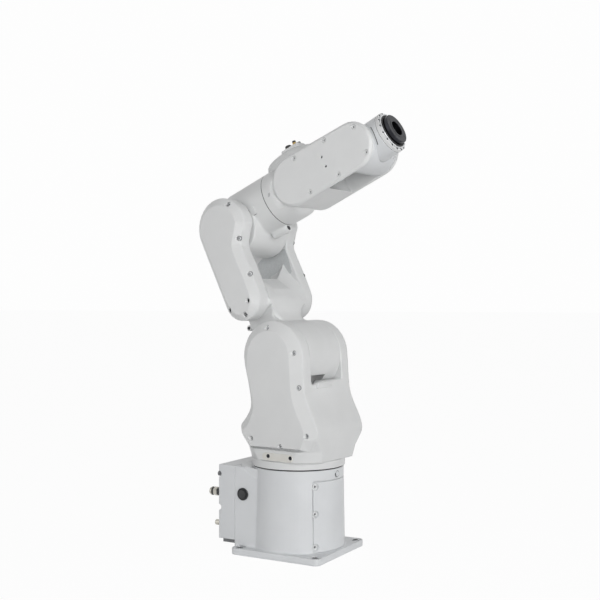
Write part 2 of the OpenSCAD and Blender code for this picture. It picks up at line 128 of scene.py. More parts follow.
@dataclass(frozen=True)
class Finish:
    """A surface: its colours, how it shines, and the grain that its making left.

    Attributes:
        name: Material name, for what the real one is, or for the shade that it paints.
        base: Main colour, sRGB hex.
        shade: Colour that the main one drifts to, sRGB hex.
        metallic: 0 for paint and plastic, 1 for bare metal.
        rough: Lowest and highest roughness.
        drift_mm: Size of the patches where colour and roughness drift.
        grain_mm: Size of the bumps in the surface.
        grain_depth_mm: Height of those bumps.
        coat: Weight of a clear top layer.
        ior: Index of refraction, left alone on metals.
        stretch: Stretch of the grain along X, Y and Z, for a turned or brushed surface.
    """

    name: str
    base: str
    shade: str
    metallic: float = 0.0
    rough: tuple[float, float] = (0.4, 0.5)
    drift_mm: float = 60.0
    grain_mm: float = 3.0
    grain_depth_mm: float = 0.02
    coat: float = 0.0
    ior: float = 1.5
    stretch: Point3 = (1.0, 1.0, 1.0)

    def material(self) -> bpy.types.Material:
        """Return the Blender material of this finish, made the first time it is asked for."""
        known = bpy.data.materials.get(self.name)
        return known if known else self._make()

    def _make(self) -> bpy.types.Material:
        """Build the node tree: drifting colour and roughness, and a fine bump.

        Returns:
            The new material.
        """
        made = bpy.data.materials.new(self.name)
        made.use_nodes = True
        tree = made.node_tree
        shader = tree.nodes["Principled BSDF"]
        place = add(tree, "TexCoord")
        where = place.outputs["Object"]
        patches = {"Vector": where, "Scale": per_metre(self.drift_mm), "Detail": 3.0}
        drift = add(tree, "TexNoise", patches)
        colour = add(tree, "ValToRGB", {"Fac": drift.outputs["Fac"]})
        ends = zip(colour.color_ramp.elements, DRIFT_BAND, (self.shade, self.base))
        for element, share, code in ends:
            element.position = share
            element.color = linear(code)
        low, high = self.rough
        span = {"Value": drift.outputs["Fac"], "To Min": low, "To Max": high}
        shine = add(tree, "MapRange", span)
        scaled = add(tree, "Mapping", {"Vector": where, "Scale": self.stretch}).outputs["Vector"]
        grains = {"Vector": scaled, "Scale": per_metre(self.grain_mm), "Detail": 2.0}
        height = add(tree, "TexNoise", grains).outputs["Fac"]
        relief = {"Height": height, "Strength": 1.0, "Distance": self.grain_depth_mm * MM}
        bump = add(tree, "Bump", relief)
        tree.links.new(colour.outputs["Color"], shader.inputs["Base Color"])
        tree.links.new(shine.outputs["Result"], shader.inputs["Roughness"])
        tree.links.new(bump.outputs["Normal"], shader.inputs["Normal"])
        shader.inputs["Metallic"].default_value = self.metallic
        shader.inputs["Coat Weight"].default_value = self.coat
        shader.inputs["Coat Roughness"].default_value = COAT_ROUGH
        if not self.metallic:
            shader.inputs["IOR"].default_value = self.ior
        return made


# Sprayed and baked enamel on aluminium castings: even, satin, with a faint orange peel that is
# drawn coarser than the real 1 mm so that it still breaks up the highlights.
ENAMEL = Finish(
    "satin_white_enamel_on_casting", "#E2E3E3", "#DEDFDF", rough=(0.36, 0.44), grain_mm=2.4,
    grain_depth_mm=0.012, coat=0.12,
)
# The same enamel on the base casting, a little cooler in tone.
BASE_ENAMEL = Finish(
    "satin_white_enamel_on_base", "#E0E2E4", "#DCDEE0", rough=(0.34, 0.42), grain_mm=2.4,
    grain_depth_mm=0.012, coat=0.12,
)
# The same enamel a little greyer, on the wrist casting and its barrel.
WRIST_ENAMEL = Finish(
    "cool_grey_enamel_on_wrist_casting", "#DBDDDF", "#D7D9DB", rough=(0.34, 0.42), grain_mm=2.4,
    grain_depth_mm=0.012, coat=0.12,
)
# The same enamel on pressed and machined covers, which lie flatter and shine a little more.
COVER_ENAMEL = Finish(
    "satin_white_enamel_on_cover", "#E3E4E4", "#E0E1E1", rough=(0.3, 0.38), grain_mm=3.2,
    grain_depth_mm=0.01, coat=0.18,
)
# Moulded nitrile rubber: near black, dull, with a soft bloom.
NITRILE = Finish(
    "moulded_nitrile_rubber", "#1C1D1F", "#17181A", rough=(0.5, 0.64), drift_mm=14, grain_mm=1.2,
    grain_depth_mm=0.03, ior=1.52,
)
# Black-oxided steel: blue-black, turned, with a thin oil sheen.
BLACK_OXIDE = Finish(
    "black_oxide_steel", "#3A3B3F", "#2C2D31", metallic=1.0, rough=(0.3, 0.42), drift_mm=18,
    grain_mm=0.8, grain_depth_mm=0.015,
)
# Zinc-plated screws: pale grey metal, a little cloudy.
ZINC = Finish(
    "zinc_plated_steel", "#D2D3D4", "#BFC1C3", metallic=1.0, rough=(0.28, 0.42), drift_mm=6,
    grain_mm=0.9, grain_depth_mm=0.01,
)
# Painted shade inside sockets, deep holes, grooves and narrow gaps: almost black.
HOLE_SHADE = Finish(
    "painted_shade_in_holes", "#2A2B2D", "#1E1F21", rough=(0.5, 0.65), drift_mm=4, grain_mm=0.8,
)
# Painted shade, mid grey: on the floors of shallow screw bores and in hex sockets, round the front
# plug and under the elbow's guide pad.
BORE_SHADE = Finish(
    "painted_shade_in_shallow_bores", "#7C7E80", "#6C6E70", rough=(0.5, 0.62), drift_mm=4,
    grain_mm=0.8,
)
# Painted shade on the inside faces of the lower arm's bars and in the crease under the nose: darker
# and flat, so that the hollows read deep.
INNER_SHADE = Finish(
    "painted_shade_on_inner_faces", "#C8CBCC", "#C0C3C4", rough=(0.5, 0.62), drift_mm=4,
    grain_mm=0.8,
)
# Nickel-plated connector shells: warm grey and brighter than zinc.
NICKEL = Finish(
    "nickel_plated_brass", "#B9B6AE", "#9C9A93", metallic=1.0, rough=(0.22, 0.34), drift_mm=9,
    grain_mm=0.8, grain_depth_mm=0.01,
)
# Plain turned brass of the air fittings, dulled by handling.
BRASS = Finish(
    "turned_brass", "#B79C63", "#8F7A4C", metallic=1.0, rough=(0.26, 0.4), drift_mm=7,
    grain_mm=0.7, grain_depth_mm=0.012,
)
# Glass-filled nylon: matt black with a moulded texture.
NYLON = Finish(
    "moulded_black_nylon", "#232426", "#1B1C1E", rough=(0.42, 0.54), drift_mm=12, grain_mm=1.0,
    grain_depth_mm=0.025, ior=1.53,
)
# Grey moulded polyamide of the cable block, with a matt skin.
GREY_NYLON = Finish(
    "moulded_grey_polyamide", "#77797B", "#6C6E70", rough=(0.5, 0.62), drift_mm=16, grain_mm=1.2,
    grain_depth_mm=0.02, ior=1.53,
)
# Clear-anodised aluminium sheet: pale grey, brushed along Y.
ANODISED = Finish(
    "brushed_anodised_aluminium", "#B9BCBE", "#A9ACAF", metallic=1.0, rough=(0.38, 0.5),
    drift_mm=30, grain_mm=0.9, grain_depth_mm=0.012, stretch=(1.0, 0.06, 1.0),
)
# Thin plate in a warmer off-white lacquer.
PALE_PLATE = Finish(
    "off_white_lacquered_plate", "#E2E1DC", "#DDDBD5", rough=(0.42, 0.5), drift_mm=20,
    grain_mm=2.0, grain_depth_mm=0.01,
)


@dataclass(frozen=True)
class ArmPose:
    """Stored pose and links of the arm, in degrees and millimetres, as the solids have them."""

    turn: float = -5.5
    lean: float = 24.4
    fore_rise: float = 22.4
    wrist_bend: float = 3.3
    shoulder_x: float = -5.0
    shoulder_h: float = 412.0
    lower_l: float = 296.0
    elbow_off: float = 30.5
    fore_l: float = 329.0

    def base(self) -> Matrix:
        """Frame of the base, from millimetres to metres."""
        return Matrix.Scale(MM, 4)

    def turret(self) -> Matrix:
        """Frame that turns with the turret."""
        return self.base() @ Matrix.Rotation(math.radians(self.turn), 4, "Z")

    def lower_arm(self) -> Matrix:
        """Frame of the lower arm: shoulder axis at the origin, +Z along the arm."""
        lift = Matrix.Translation((self.shoulder_x, 0.0, self.shoulder_h))
        return self.turret() @ lift @ Matrix.Rotation(math.radians(-self.lean), 4, "Y")

    def forearm(self) -> Matrix:
        """Frame of the forearm: elbow axis at the origin, +X along the forearm."""
        bend = Matrix.Rotation(math.radians(self.lean - self.fore_rise), 4, "Y")
        return self.lower_arm() @ Matrix.Translation((0.0, 0.0, self.lower_l)) @ bend

    def wrist(self) -> Matrix:
        """Frame of the wrist: wrist axis at the origin, +X to the flange."""
        shift = Matrix.Translation((self.fore_l, 0.0, self.elbow_off))
        return self.forearm() @ shift @ Matrix.Rotation(math.radians(-self.wrist_bend), 4, "Y")


POSE = ArmPose()


def level_way(degrees: float) -> Vector:
    """Give the level direction at an angle from +X towards +Y."""
    angle = math.radians(degrees)
    return Vector((math.cos(angle), math.sin(angle), 0.0))


def upright_way(degrees: float) -> Vector:
    """Give the upright direction at an angle from +X towards +Z."""
    angle = math.radians(degrees)
    return Vector((math.cos(angle), 0.0, math.sin(angle)))


def spread(ends: Point2, steps: int) -> list[float]:
    """Give values at even steps from the first of two ends to the last, both included."""
    first, last = ends
    return [first + (last - first) * step / steps for step in range(steps + 1)]


def placed(name: str, data: bpy.types.ID) -> bpy.types.Object:
    """Make an object and put it in the scene.

    Args:
        name: Name of the object.
        data: Its mesh, camera or lamp.

    Returns:
        The object.
    """
    made = bpy.data.objects.new(name, data)
    bpy.context.scene.collection.objects.link(made)
    return made


def pointing(axis: Axis | Vector, place: Sequence[float] = (0.0, 0.0, 0.0)) -> Matrix:
    """Give the matrix that stands a piece built along +Z at a place, pointing a way.

    Args:
        axis: Direction of the piece's +Z.
        place: Where its origin goes, in the same frame.

    Returns:
        The placing matrix.
    """
    way = Vector(axis.value) if isinstance(axis, Axis) else axis
    return Matrix.Translation(Vector(place)) @ way.to_track_quat("Z", "Y").to_matrix().to_4x4()


def ring(radius: float, height: float, count: int = 32, sides: int = 0) -> Loop:
    """Give a level loop of points, round or with flat sides.

    Args:
        radius: Radius of the circle, or of the corners of the flat-sided figure.
        height: Z of the loop.
        count: Number of points.
        sides: Number of flat sides, or 0 for a circle.

    Returns:
        The points, counter-clockwise.
    """
    loop = []
    for index in range(count):
        angle = 2 * math.pi * index / count
        reach = radius
        if sides:
            half = math.pi / sides
            reach = radius * math.cos(half) / math.cos((angle + half) % (2 * half) - half)
        loop.append(Vector((reach * math.cos(angle), reach * math.sin(angle), height)))
    return loop


def knurl(radius: float, depth: float, height: float, teeth: int) -> Loop:
    """Give a level loop with small teeth, as on a knurled nut.

    Args:
        radius: Radius of the tips.
        depth: Depth of the valleys.
        height: Z of the loop.
        teeth: Number of teeth.

    Returns:
        The points, counter-clockwise, two for each tooth.
    """
    loop = []
    for index in range(2 * teeth):
        angle = math.pi * index / teeth
        reach = radius - depth * (index % 2)
        loop.append(Vector((reach * math.cos(angle), reach * math.sin(angle), height)))
    return loop


def pad(width: float, depth: float, corner: float, height: float, steps: int = 6) -> Loop:
    """Give a level loop with rounded corners.

    Args:
        width: Length along X.
        depth: Length along Y.
        corner: Corner radius.
        height: Z of the loop.
        steps: Segments of each corner.

    Returns:
        The points, counter-clockwise.
    """
    loop = []
    for quarter, (side_x, side_y) in enumerate(((1, 1), (-1, 1), (-1, -1), (1, -1))):
        for step in range(steps + 1):
            angle = math.radians(90 * quarter + 90 * step / steps)
            x = side_x * (width / 2 - corner) + corner * math.cos(angle)
            y = side_y * (depth / 2 - corner) + corner * math.sin(angle)
            loop.append(Vector((x, y, height)))
    return loop


def square_section(outer: float, inner: float, low: float, high: float) -> list[Point2]:
    """Give the square section of a plain ring.

    Args:
        outer: Outer radius.
        inner: Inner radius.
        low: Lowest height.
        high: Highest height.

    Returns:
        Radius and height pairs round the section.
    """
    return [(outer, low), (outer, high), (inner, high), (inner, low)]


def drum_profile(radius: float, half: float, chamfer: float, flat: float) -> list[Point2]:
    """Give the profile of a drum with chamfered rims.

    Args:
        radius: Radius of the drum.
        half: Half of its length.
        chamfer: Size of the chamfers.
        flat: Width of the flat ends, from the drum's radius inwards.

    Returns:
        Radius and height pairs from one end to the other.
    """
    return [
        (radius - flat, -half), (radius - chamfer, -half), (radius, chamfer - half),
        (radius, half - chamfer), (radius - chamfer, half), (radius - flat, half),
    ]


class Workpiece:
    """A mesh that is gathered from lofts and placed in the row frame."""

    def __init__(self, name: str, finishes: Sequence[Finish]) -> None:
        """Start an empty piece.

        Args:
            name: Name of the object.
            finishes: Finishes of its material slots.
        """
        self.name = name
        self.finishes = list(finishes)
        self.mesh = bmesh.new()

    def loft(
        self, loops: Sequence[Loop], place: Matrix, slot: int = 0, closed: bool = True
    ) -> None:
        """Add a skin through loops of equal length.

        Args:
            loops: Loops in order, each with the same number of points.
            place: Matrix from the loops' frame to the row frame.
            slot: Material slot of the skin.
            closed: Whether both ends are capped.
        """
        rows = [[self.mesh.verts.new(place @ point) for point in loop] for loop in loops]
        count = len(rows[0])
        faces = []
        for low, high in zip(rows, rows[1:]):
            for index in range(count):
                after = (index + 1) % count
                corners = (low[index], low[after], high[after], high[index])
                faces.append(self.mesh.faces.new(corners))
        if closed:
            faces.append(self.mesh.faces.new(list(reversed(rows[0]))))
            faces.append(self.mesh.faces.new(rows[-1]))
        for face in faces:
            face.material_index = slot
            face.smooth = True

    def turned(
        self, profile: Sequence[tuple[float, ...]], place: Matrix, slot: int = 0, count: int = 40
    ) -> None:
        """Add a closed turned shape about +Z, round or with flat sides.

        Args:
            profile: Radius and height from the first cap to the last, with the number of flat
                sides after them where a section has such.
            place: Matrix to the row frame.
            slot: Material slot.
            count: Points round the axis.
        """
        self.loft([ring(row[0], row[1], count, *row[2:]) for row in profile], place, slot)

    def knurled(
        self, profile: Sequence[Point3], teeth: int, place: Matrix, slot: int = 0
    ) -> None:
        """Add a closed knurled shape about +Z.

        Args:
            profile: Radius of the tips, depth of the valleys and height of each section.
            teeth: Number of teeth.
            place: Matrix to the row frame.
            slot: Material slot.
        """
        self.loft([knurl(*row, teeth) for row in profile], place, slot)

    def block(
        self, profile: Sequence[tuple[float, ...]], place: Matrix, slot: int = 0, steps: int = 6
    ) -> None:
        """Add a closed block along +Z with rounded corners.

        Args:
            profile: Length along X and along Y, corner radius and height of each section.
            place: Matrix to the row frame.
            slot: Material slot.
            steps: Segments of each corner.
        """
        self.loft([pad(*row, steps) for row in profile], place, slot)

    def band(
        self, profile: Sequence[Point2], place: Matrix, slot: int = 0, count: int = 64
    ) -> None:
        """Add a closed ring about +Z whose profile runs round on itself.

        Args:
            profile: Radius and height pairs round the ring's section.
            place: Matrix to the row frame.
            slot: Material slot.
            count: Points round the axis.
        """
        closed = list(profile) + [profile[0]]
        self.loft([ring(radius, height, count) for radius, height in closed], place, slot, False)

    def done(self, body: str, sharp_deg: float = 35.0) -> bpy.types.Object:
        """Turn the gathered mesh into an object that rides on a body.

        Args:
            body: Body that the piece moves with.
            sharp_deg: Angle from which an edge is drawn sharp.

        Returns:
            The object.
        """
        bmesh.ops.remove_doubles(self.mesh, verts=self.mesh.verts, dist=1e-6)
        bmesh.ops.recalc_face_normals(self.mesh, faces=self.mesh.faces)
        for edge in self.mesh.edges:
            if len(edge.link_faces) == 2 and edge.calc_face_angle(0.0) > math.radians(sharp_deg):
                edge.smooth = False
        data = bpy.data.meshes.new(self.name)
        self.mesh.to_mesh(data)
        self.mesh.free()
        for finish in self.finishes:
            data.materials.append(finish.material())
        made = placed(self.name, data)
        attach(made, body)
        LOG.info("%s: %d faces on %s", self.name, len(data.polygons), body)
        return made


@dataclass(frozen=True)
class Softening:
    """How a solid becomes a casting or a pressing.

    Attributes:
        pitch_mm: Pitch of the new mesh.
        passes: Rounds of smoothing, which set how much the edges round.
        keep: Share of the faces that is kept.
    """

    pitch_mm: float
    passes: int
    keep: float


# Castings, castings with broad fillets, thin covers, and turned or moulded pieces.
CAST = Softening(2.0, 4, 0.45)
FILLETED = Softening(2.0, 9, 0.45)
PRESSED = Softening(1.1, 1, 0.42)
MACHINED = Softening(1.0, 2, 0.5)


def baked(subject: bpy.types.Object) -> None:
    """Put a piece's modifiers into its mesh and clear them.

    Args:
        subject: The piece.
    """
    graph = bpy.context.evaluated_depsgraph_get()
    old = subject.data
    fresh = bpy.data.meshes.new_from_object(subject.evaluated_get(graph), depsgraph=graph)
    subject.modifiers.clear()
    subject.data = fresh
    bpy.data.meshes.remove(old)


def soft_copy(
    node: str,
    name: str,
    body: str,
    finish: Finish,
    soft: Softening,
    cuts: Sequence[Cut] = (),
) -> None:
    """Make a softened copy of a solid that stands for it.

    Args:
        node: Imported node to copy.
        name: Name of the copy.
        body: Body that it rides on.
        finish: Its finish.
        soft: How it is softened.
        cuts: Screws whose bores are sunk into it, round cuts and slots.
    """
    made = placed(name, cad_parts[node].data.copy())
    remesh = made.modifiers.new("pitch", "REMESH")
    remesh.mode = "VOXEL"
    remesh.voxel_size = soft.pitch_mm * MM
    smooth = made.modifiers.new("round", "SMOOTH")
    smooth.factor = 0.5
    smooth.iterations = soft.passes
    thin = made.modifiers.new("thin", "DECIMATE")
    thin.ratio = soft.keep
    baked(made)
    if cuts:
        sink(made, cuts)
    data = made.data
    data.materials.clear()
    data.materials.append(finish.material())
    data.polygons.foreach_set("material_index", [0] * len(data.polygons))
    data.shade_smooth()
    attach(made, body)
    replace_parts(made, node)
    LOG.info("%s: %d faces on %s", name, len(data.polygons), body)


class HeadLook(Enum):
    """What sits at the bottom of a bore; the value is the slot of the head in SCREW_FINISHES."""

    ZINC = 0
    BLACK = 1
    PAINTED = 2
    NONE = 3


SCREW_FINISHES = (ZINC, BLACK_OXIDE, COVER_ENAMEL, HOLE_SHADE, BORE_SHADE)
DARK_SLOT = 3
FLOOR_SLOT = 4
HEAD_R = 3.9
BORE_R = 5.4
BORE_LENGTH = 30.0
SCREW_COUNT = 24


@dataclass(frozen=True)
class RoundCut:
    """A round cut along +Z.

    Attributes:
        place: Row-frame matrix, origin at the cut's start.
        radius: Its radius.
        length: Its length.
        count: Points round it.
    """

    place: Matrix
    radius: float
    length: float
    count: int

    def cut(self, tool: bmesh.types.BMesh) -> None:
        """Add the cutter to a mesh.

        Args:
            tool: Mesh that gathers the cutters.
        """
        low = [tool.verts.new(self.place @ p) for p in ring(self.radius, 0.0, self.count)]
        high = [tool.verts.new(self.place @ p) for p in ring(self.radius, self.length, self.count)]
        for index in range(self.count):
            after = (index + 1) % self.count
            tool.faces.new((low[index], low[after], high[after], high[index]))
        tool.faces.new(list(reversed(low)))
        tool.faces.new(high)


@dataclass(frozen=True)
class SunkScrew:
    """A socket screw in a round bore.

    Attributes:
        place: Row-frame matrix, +Z out of the bore, origin on its floor.
        head_r: Radius of the head.
        bore_r: Radius of the bore.
        look: What the bore holds.
    """

    place: Matrix
    head_r: float = HEAD_R
    bore_r: float = BORE_R
    look: HeadLook = HeadLook.ZINC

    def cut(self, tool: bmesh.types.BMesh) -> None:
        """Add the bore's cutter to a mesh."""
        RoundCut(self.place, self.bore_r, BORE_LENGTH, SCREW_COUNT).cut(tool)

    def fit(self, piece: Workpiece) -> None:
        """Add the bore's floor, the head and its hex socket, with painted shade in bore and socket,
        to a piece.

        Args:
            piece: Piece that gathers the screws.
        """
        r, floor_r = self.head_r, self.bore_r - 0.1
        # The bore's floor is painted shade: grey under a zinc head, black under a black head or in an
        # empty hole; under a painted head it keeps the enamel.
        floors = {HeadLook.ZINC: FLOOR_SLOT, HeadLook.PAINTED: HeadLook.PAINTED.value}
        floor = floors.get(self.look, DARK_SLOT)
        piece.turned([(floor_r, 0.02), (floor_r, 0.25)], self.place, floor, SCREW_COUNT)
        if self.look is HeadLook.NONE:
            return
        head = [
            (r, 0.25), (r, 0.44 * r), (0.92 * r, 0.58 * r), (0.74 * r, 0.66 * r),
            (0.56 * r, 0.66 * r, 6), (0.54 * r, 0.28 * r, 6),
        ]
        piece.turned(head, self.place, self.look.value, SCREW_COUNT)
        # The socket's floor is painted shade: black in a black head, grey in the others.
        socket = [(0.53 * r, 0.28 * r + 0.02, 6), (0.53 * r, 0.3 * r, 6)]
        dark = DARK_SLOT if self.look is HeadLook.BLACK else FLOOR_SLOT
        piece.turned(socket, self.place, dark, SCREW_COUNT)


@dataclass(frozen=True)
class SlotCut:
    """A straight-sided slot.

    Attributes:
        place: Row-frame matrix of the frame that the corners are given in.
        low: Lowest corner.
        high: Highest corner.
    """

    place: Matrix
    low: Point3
    high: Point3

    def cut(self, tool: bmesh.types.BMesh) -> None:
        """Add the slot's cutter to a mesh.

        Args:
            tool: Mesh that gathers the cutters.
        """
        size = Vector(self.high) - Vector(self.low)
        middle = (Vector(self.high) + Vector(self.low)) / 2
        box = Matrix.Translation(middle) @ Matrix.Diagonal((size.x, size.y, size.z, 1.0))
        bmesh.ops.create_cube(tool, size=1.0, matrix=self.place @ box)


Cut = SunkScrew | RoundCut | SlotCut


def sink(subject: bpy.types.Object, cuts: Sequence[Cut]) -> None:
    """Cut bores, round cuts and slots into a piece.

    Args:
        subject: Piece to cut.
        cuts: Screws whose bores are cut, round cuts and slots.
    """
    tool = bmesh.new()
    for item in cuts:
        item.cut(tool)
    bmesh.ops.recalc_face_normals(tool, faces=tool.faces)
    data = bpy.data.meshes.new("bores")
    tool.to_mesh(data)
    tool.free()
    cutter = placed("bores", data)
    cut = subject.modifiers.new("bores", "BOOLEAN")
    cut.operation = "DIFFERENCE"
    cut.solver = "EXACT"
    cut.object = cutter
    baked(subject)
    bpy.data.objects.remove(cutter)
    bpy.data.meshes.remove(data)


def fit_screws(name: str, body: str, screws: Sequence[SunkScrew]) -> None:
    """Make one piece of all the screws on a body.

    Args:
        name: Name of the piece.
        body: Body that it rides on.
        screws: The screws.
    """
    piece = Workpiece(name, SCREW_FINISHES)
    for screw in screws:
        screw.fit(piece)
    piece.done(body)


def keep_solid(node: str, finish: Finish) -> None:
    """Leave a solid showing, with a better finish.

    Args:
        node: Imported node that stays.
        finish: Its finish.
    """
    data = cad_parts[node].data
    data.materials.clear()
    data.materials.append(finish.material())


@dataclass
class Base:
    """Cast base with its front cover, connectors, button and foot holes.

    Attributes:
        body: Body that everything here rides on.
        column_r: Radius of the column at its top.
        box_back: How far the box reaches behind the upright axis.
        box_half: Half width of the box.
        base_h: Height of the casting.
        pocket_r: Radius of the pocket that the front cover lies in.
        cover_screw_deg: Angle of the front cover's screws, either side of the front.
        cover_screw_z: Heights of those screws.
        foot_span: Half the spacing of the foot bolts.
        panel_x: Outer face of the connector panel.
        panel_screw_y: Places of the panel's screws across it.
        panel_screw_z: Their heights.
        blend_deg: First and last angle of the hollow on the box's top.
        blend_root: Height that the hollow's piece reaches down to.
        blend_low: Lowest height of the hollow, against the column.
        blend_rise: How much it climbs outwards.
        blend_reach: How far out it climbs.
        fill_z: Lowest and highest point of the fillings in the box's sides.
        plug_deg: Angle of the round plug.
        plug_drop: Its distance below the casting's top.
    """

    body: str = "base"
    column_r: float = 96.0
    box_back: float = 108.0
    box_half: float = 82.0
    base_h: float = 181.0
    pocket_r: float = 90.3
    cover_screw_deg: float = 39.1
    cover_screw_z: tuple[float, ...] = (149.0, 93.0, 26.0)
    foot_span: float = 90.0
    panel_x: float = -122.0
    panel_screw_y: Point2 = (-66.0, 66.0)
    panel_screw_z: Point2 = (42.0, 163.0)
    blend_deg: Point2 = (121.6, 238.4)
    blend_root: float = 150.0
    blend_low: float = 176.5
    blend_rise: float = 4.6
    blend_reach: float = 27.0
    fill_z: Point2 = (15.2, 41.0)
    plug_deg: float = -3.0
    plug_drop: float = 11.0

    def build(self) -> None:
        """Build and dress the base."""
        screws = self.cover_screws()
        soft_copy("base_casting", "base_cast_skin", self.body, BASE_ENAMEL, CAST, screws)
        soft_copy("base_front_cover", "front_cover_skin", self.body, BASE_ENAMEL, MACHINED, screws)
        soft_copy("rear_connector_cover", "rear_cover_skin", self.body, BASE_ENAMEL, PRESSED)
        soft_copy("rear_cable_block", "cable_block_skin", self.body, GREY_NYLON, MACHINED)
        keep_solid("rear_connector_panel", ANODISED)
        fit_screws("base_screws", self.body, screws + self.panel_screws())
        self.foot_bushes()
        self.top_lip()
        self.box_blend()
        self.wall_fill()
        self.button()
        self.plug()
        self.thumb_screw()
        self.power_socket()
        self.signal_plug()
        self.air_fittings()

    def cover_screws(self) -> list[SunkScrew]:
        """Place the screws in the notches along both edges of the front cover.

        Returns:
            The screws.
        """
        screws = []
        for side in (-1, 1):
            way = level_way(side * self.cover_screw_deg)
            for height in self.cover_screw_z:
                place = pointing(way, way * self.pocket_r + Vector((0.0, 0.0, height)))
                screws.append(SunkScrew(POSE.base() @ place, 4.8, 7.4, HeadLook.PAINTED))
        return screws

    def panel_screws(self) -> list[SunkScrew]:
        """Place the screws at the corners of the connector panel.

        Returns:
            The screws.
        """
        return [
            SunkScrew(POSE.base() @ pointing(Axis.BACK, (self.panel_x, y, z)), 3.4, 4.2)
            for y in self.panel_screw_y
            for z in self.panel_screw_z
        ]

    def foot_bushes(self) -> None:
        """Line the foot's bolt holes with plated steel bushes, painted shade inside them."""
        piece = Workpiece("foot_bushes", (ZINC, HOLE_SHADE))
        rim = [(6.7, 0.6), (6.7, 13.4), (6.4, 13.7), (6.0, 13.7), (5.8, 13.4), (5.8, 0.6)]
        for x in (-self.foot_span, self.foot_span):
            for y in (-self.foot_span, self.foot_span):
                place = POSE.base() @ Matrix.Translation((x, y, 0.0))
                piece.band(rim, place, 0, 32)
                # Painted shade: the inside of each bush and a disc down in it are near black, so that
                # the hole reads dark.
                piece.band(square_section(5.9, 5.2, 0.6, 13.2), place, 1, 32)
                piece.turned([(5.3, 9.0), (5.3, 10.0)], place, 1, 32)
        piece.done(self.body)

    def top_lip(self) -> None:
        """Sharpen the machined top edge of the column, under the joint line."""
        piece = Workpiece("column_top_lip", (BASE_ENAMEL,))
        r, top = self.column_r + 0.25, self.base_h
        section = [(r, top - 9), (r, top - 0.5), (r - 0.5, top), (r - 8, top), (r - 8, top - 9)]
        piece.band(section, POSE.base(), 0, 128)
        piece.done(self.body)

    def box_blend(self) -> None:
        """Blend the top of the box into the column with a shallow round hollow."""
        piece = Workpiece("box_top_blend", (BASE_ENAMEL,))
        inner, reach = self.column_r - 3.0, self.blend_reach
        root = Vector((0, 0, self.blend_root))
        loops = []
        for degrees in spread(self.blend_deg, 56):
            way = level_way(degrees)
            side = (self.box_half - 0.3) / max(abs(way.y), 1e-6)
            edge = min(inner + reach, side, self.box_back / abs(way.x))
            loop = [way * inner + root]
            for share in (0.0, 0.15, 0.35, 0.6, 0.8, 0.93, 1.0):
                out = inner + (edge - inner) * share
                climb = 1 - (1 - min(1.0, (out - inner) / reach)) ** 2
                loop.append(way * out + Vector((0, 0, self.blend_low + self.blend_rise * climb)))
            loop.append(way * edge + root)
            loops.append(loop)
        piece.loft(loops, POSE.base())
        piece.done(self.body)

    def wall_fill(self) -> None:
        """Close the shallow hollows that the rear feet's spot faces leave in the box's sides."""
        piece = Workpiece("box_wall_fill", (BASE_ENAMEL,))
        low, high = self.fill_z
        rows = [(27.0, 4.3, 0.6, low), (27.0, 4.3, 0.6, high - 1), (26.0, 3.6, 0.5, high)]
        for side in (-1, 1):
            spot = (-self.foot_span, side * (self.box_half - 2.2), 0.0)
            piece.block(rows, POSE.base() @ Matrix.Translation(spot))
        piece.done(self.body)

    def button(self) -> None:
        """Make the lock release button: a bezel, a groove and a low dome."""
        spot = (21 - self.box_back, -self.box_half, 0.68 * self.base_h)
        place = POSE.base() @ pointing(Axis.RIGHT, spot)
        piece = Workpiece("lock_release_button", (NYLON,))
        piece.turned(
            [
                (10.8, -7.5), (10.8, -0.6), (13.0, -0.4), (13.0, 1.8), (12.4, 2.6), (11.2, 2.6),
                (10.6, 1.4), (9.7, 1.4), (9.5, 4.2), (8.8, 5.2), (6.0, 5.8), (2.0, 6.0),
            ],
            place,
        )
        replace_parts(piece.done(self.body), "brake_button")

    def plug(self) -> None:
        """Make the white plug above the front cover, with a grey ring of painted shade round it."""
        way = level_way(self.plug_deg)
        spot = way * (self.column_r - 6) + Vector((0, 0, self.base_h - self.plug_drop))
        place = POSE.base() @ pointing(way, spot)
        piece = Workpiece("front_round_plug", (BASE_ENAMEL, BORE_SHADE))
        piece.turned([(5.6, 0.3), (5.6, 6.2), (5.0, 7.0), (2.6, 7.2), (1.8, 6.4)], place)
        # Painted shade: a thin grey ring in the gap round the plug.
        piece.band(square_section(6.5, 5.7, 0.3, 6.35), place, 1, 40)
        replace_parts(piece.done(self.body), "front_plug")

    def thumb_screw(self) -> None:
        """Make the grey knurled screw in the upper notch of the connector cover."""
        place = POSE.base() @ pointing(Axis.BACK, (-142.5, 5 - self.box_half, 0.89 * self.base_h))
        piece = Workpiece("cover_thumb_screw", (GREY_NYLON, NICKEL))
        piece.turned([(2.6, -4.0), (2.6, 1.0)], place, 1, 20)
        grip = [(5.0, 0.2, 0.8), (5.3, 0.7, 1.6), (5.3, 0.7, 7.6), (4.8, 0.2, 8.6), (3.0, 0.0, 9.2)]
        piece.knurled(grip, 16, place)
        piece.done(self.body)

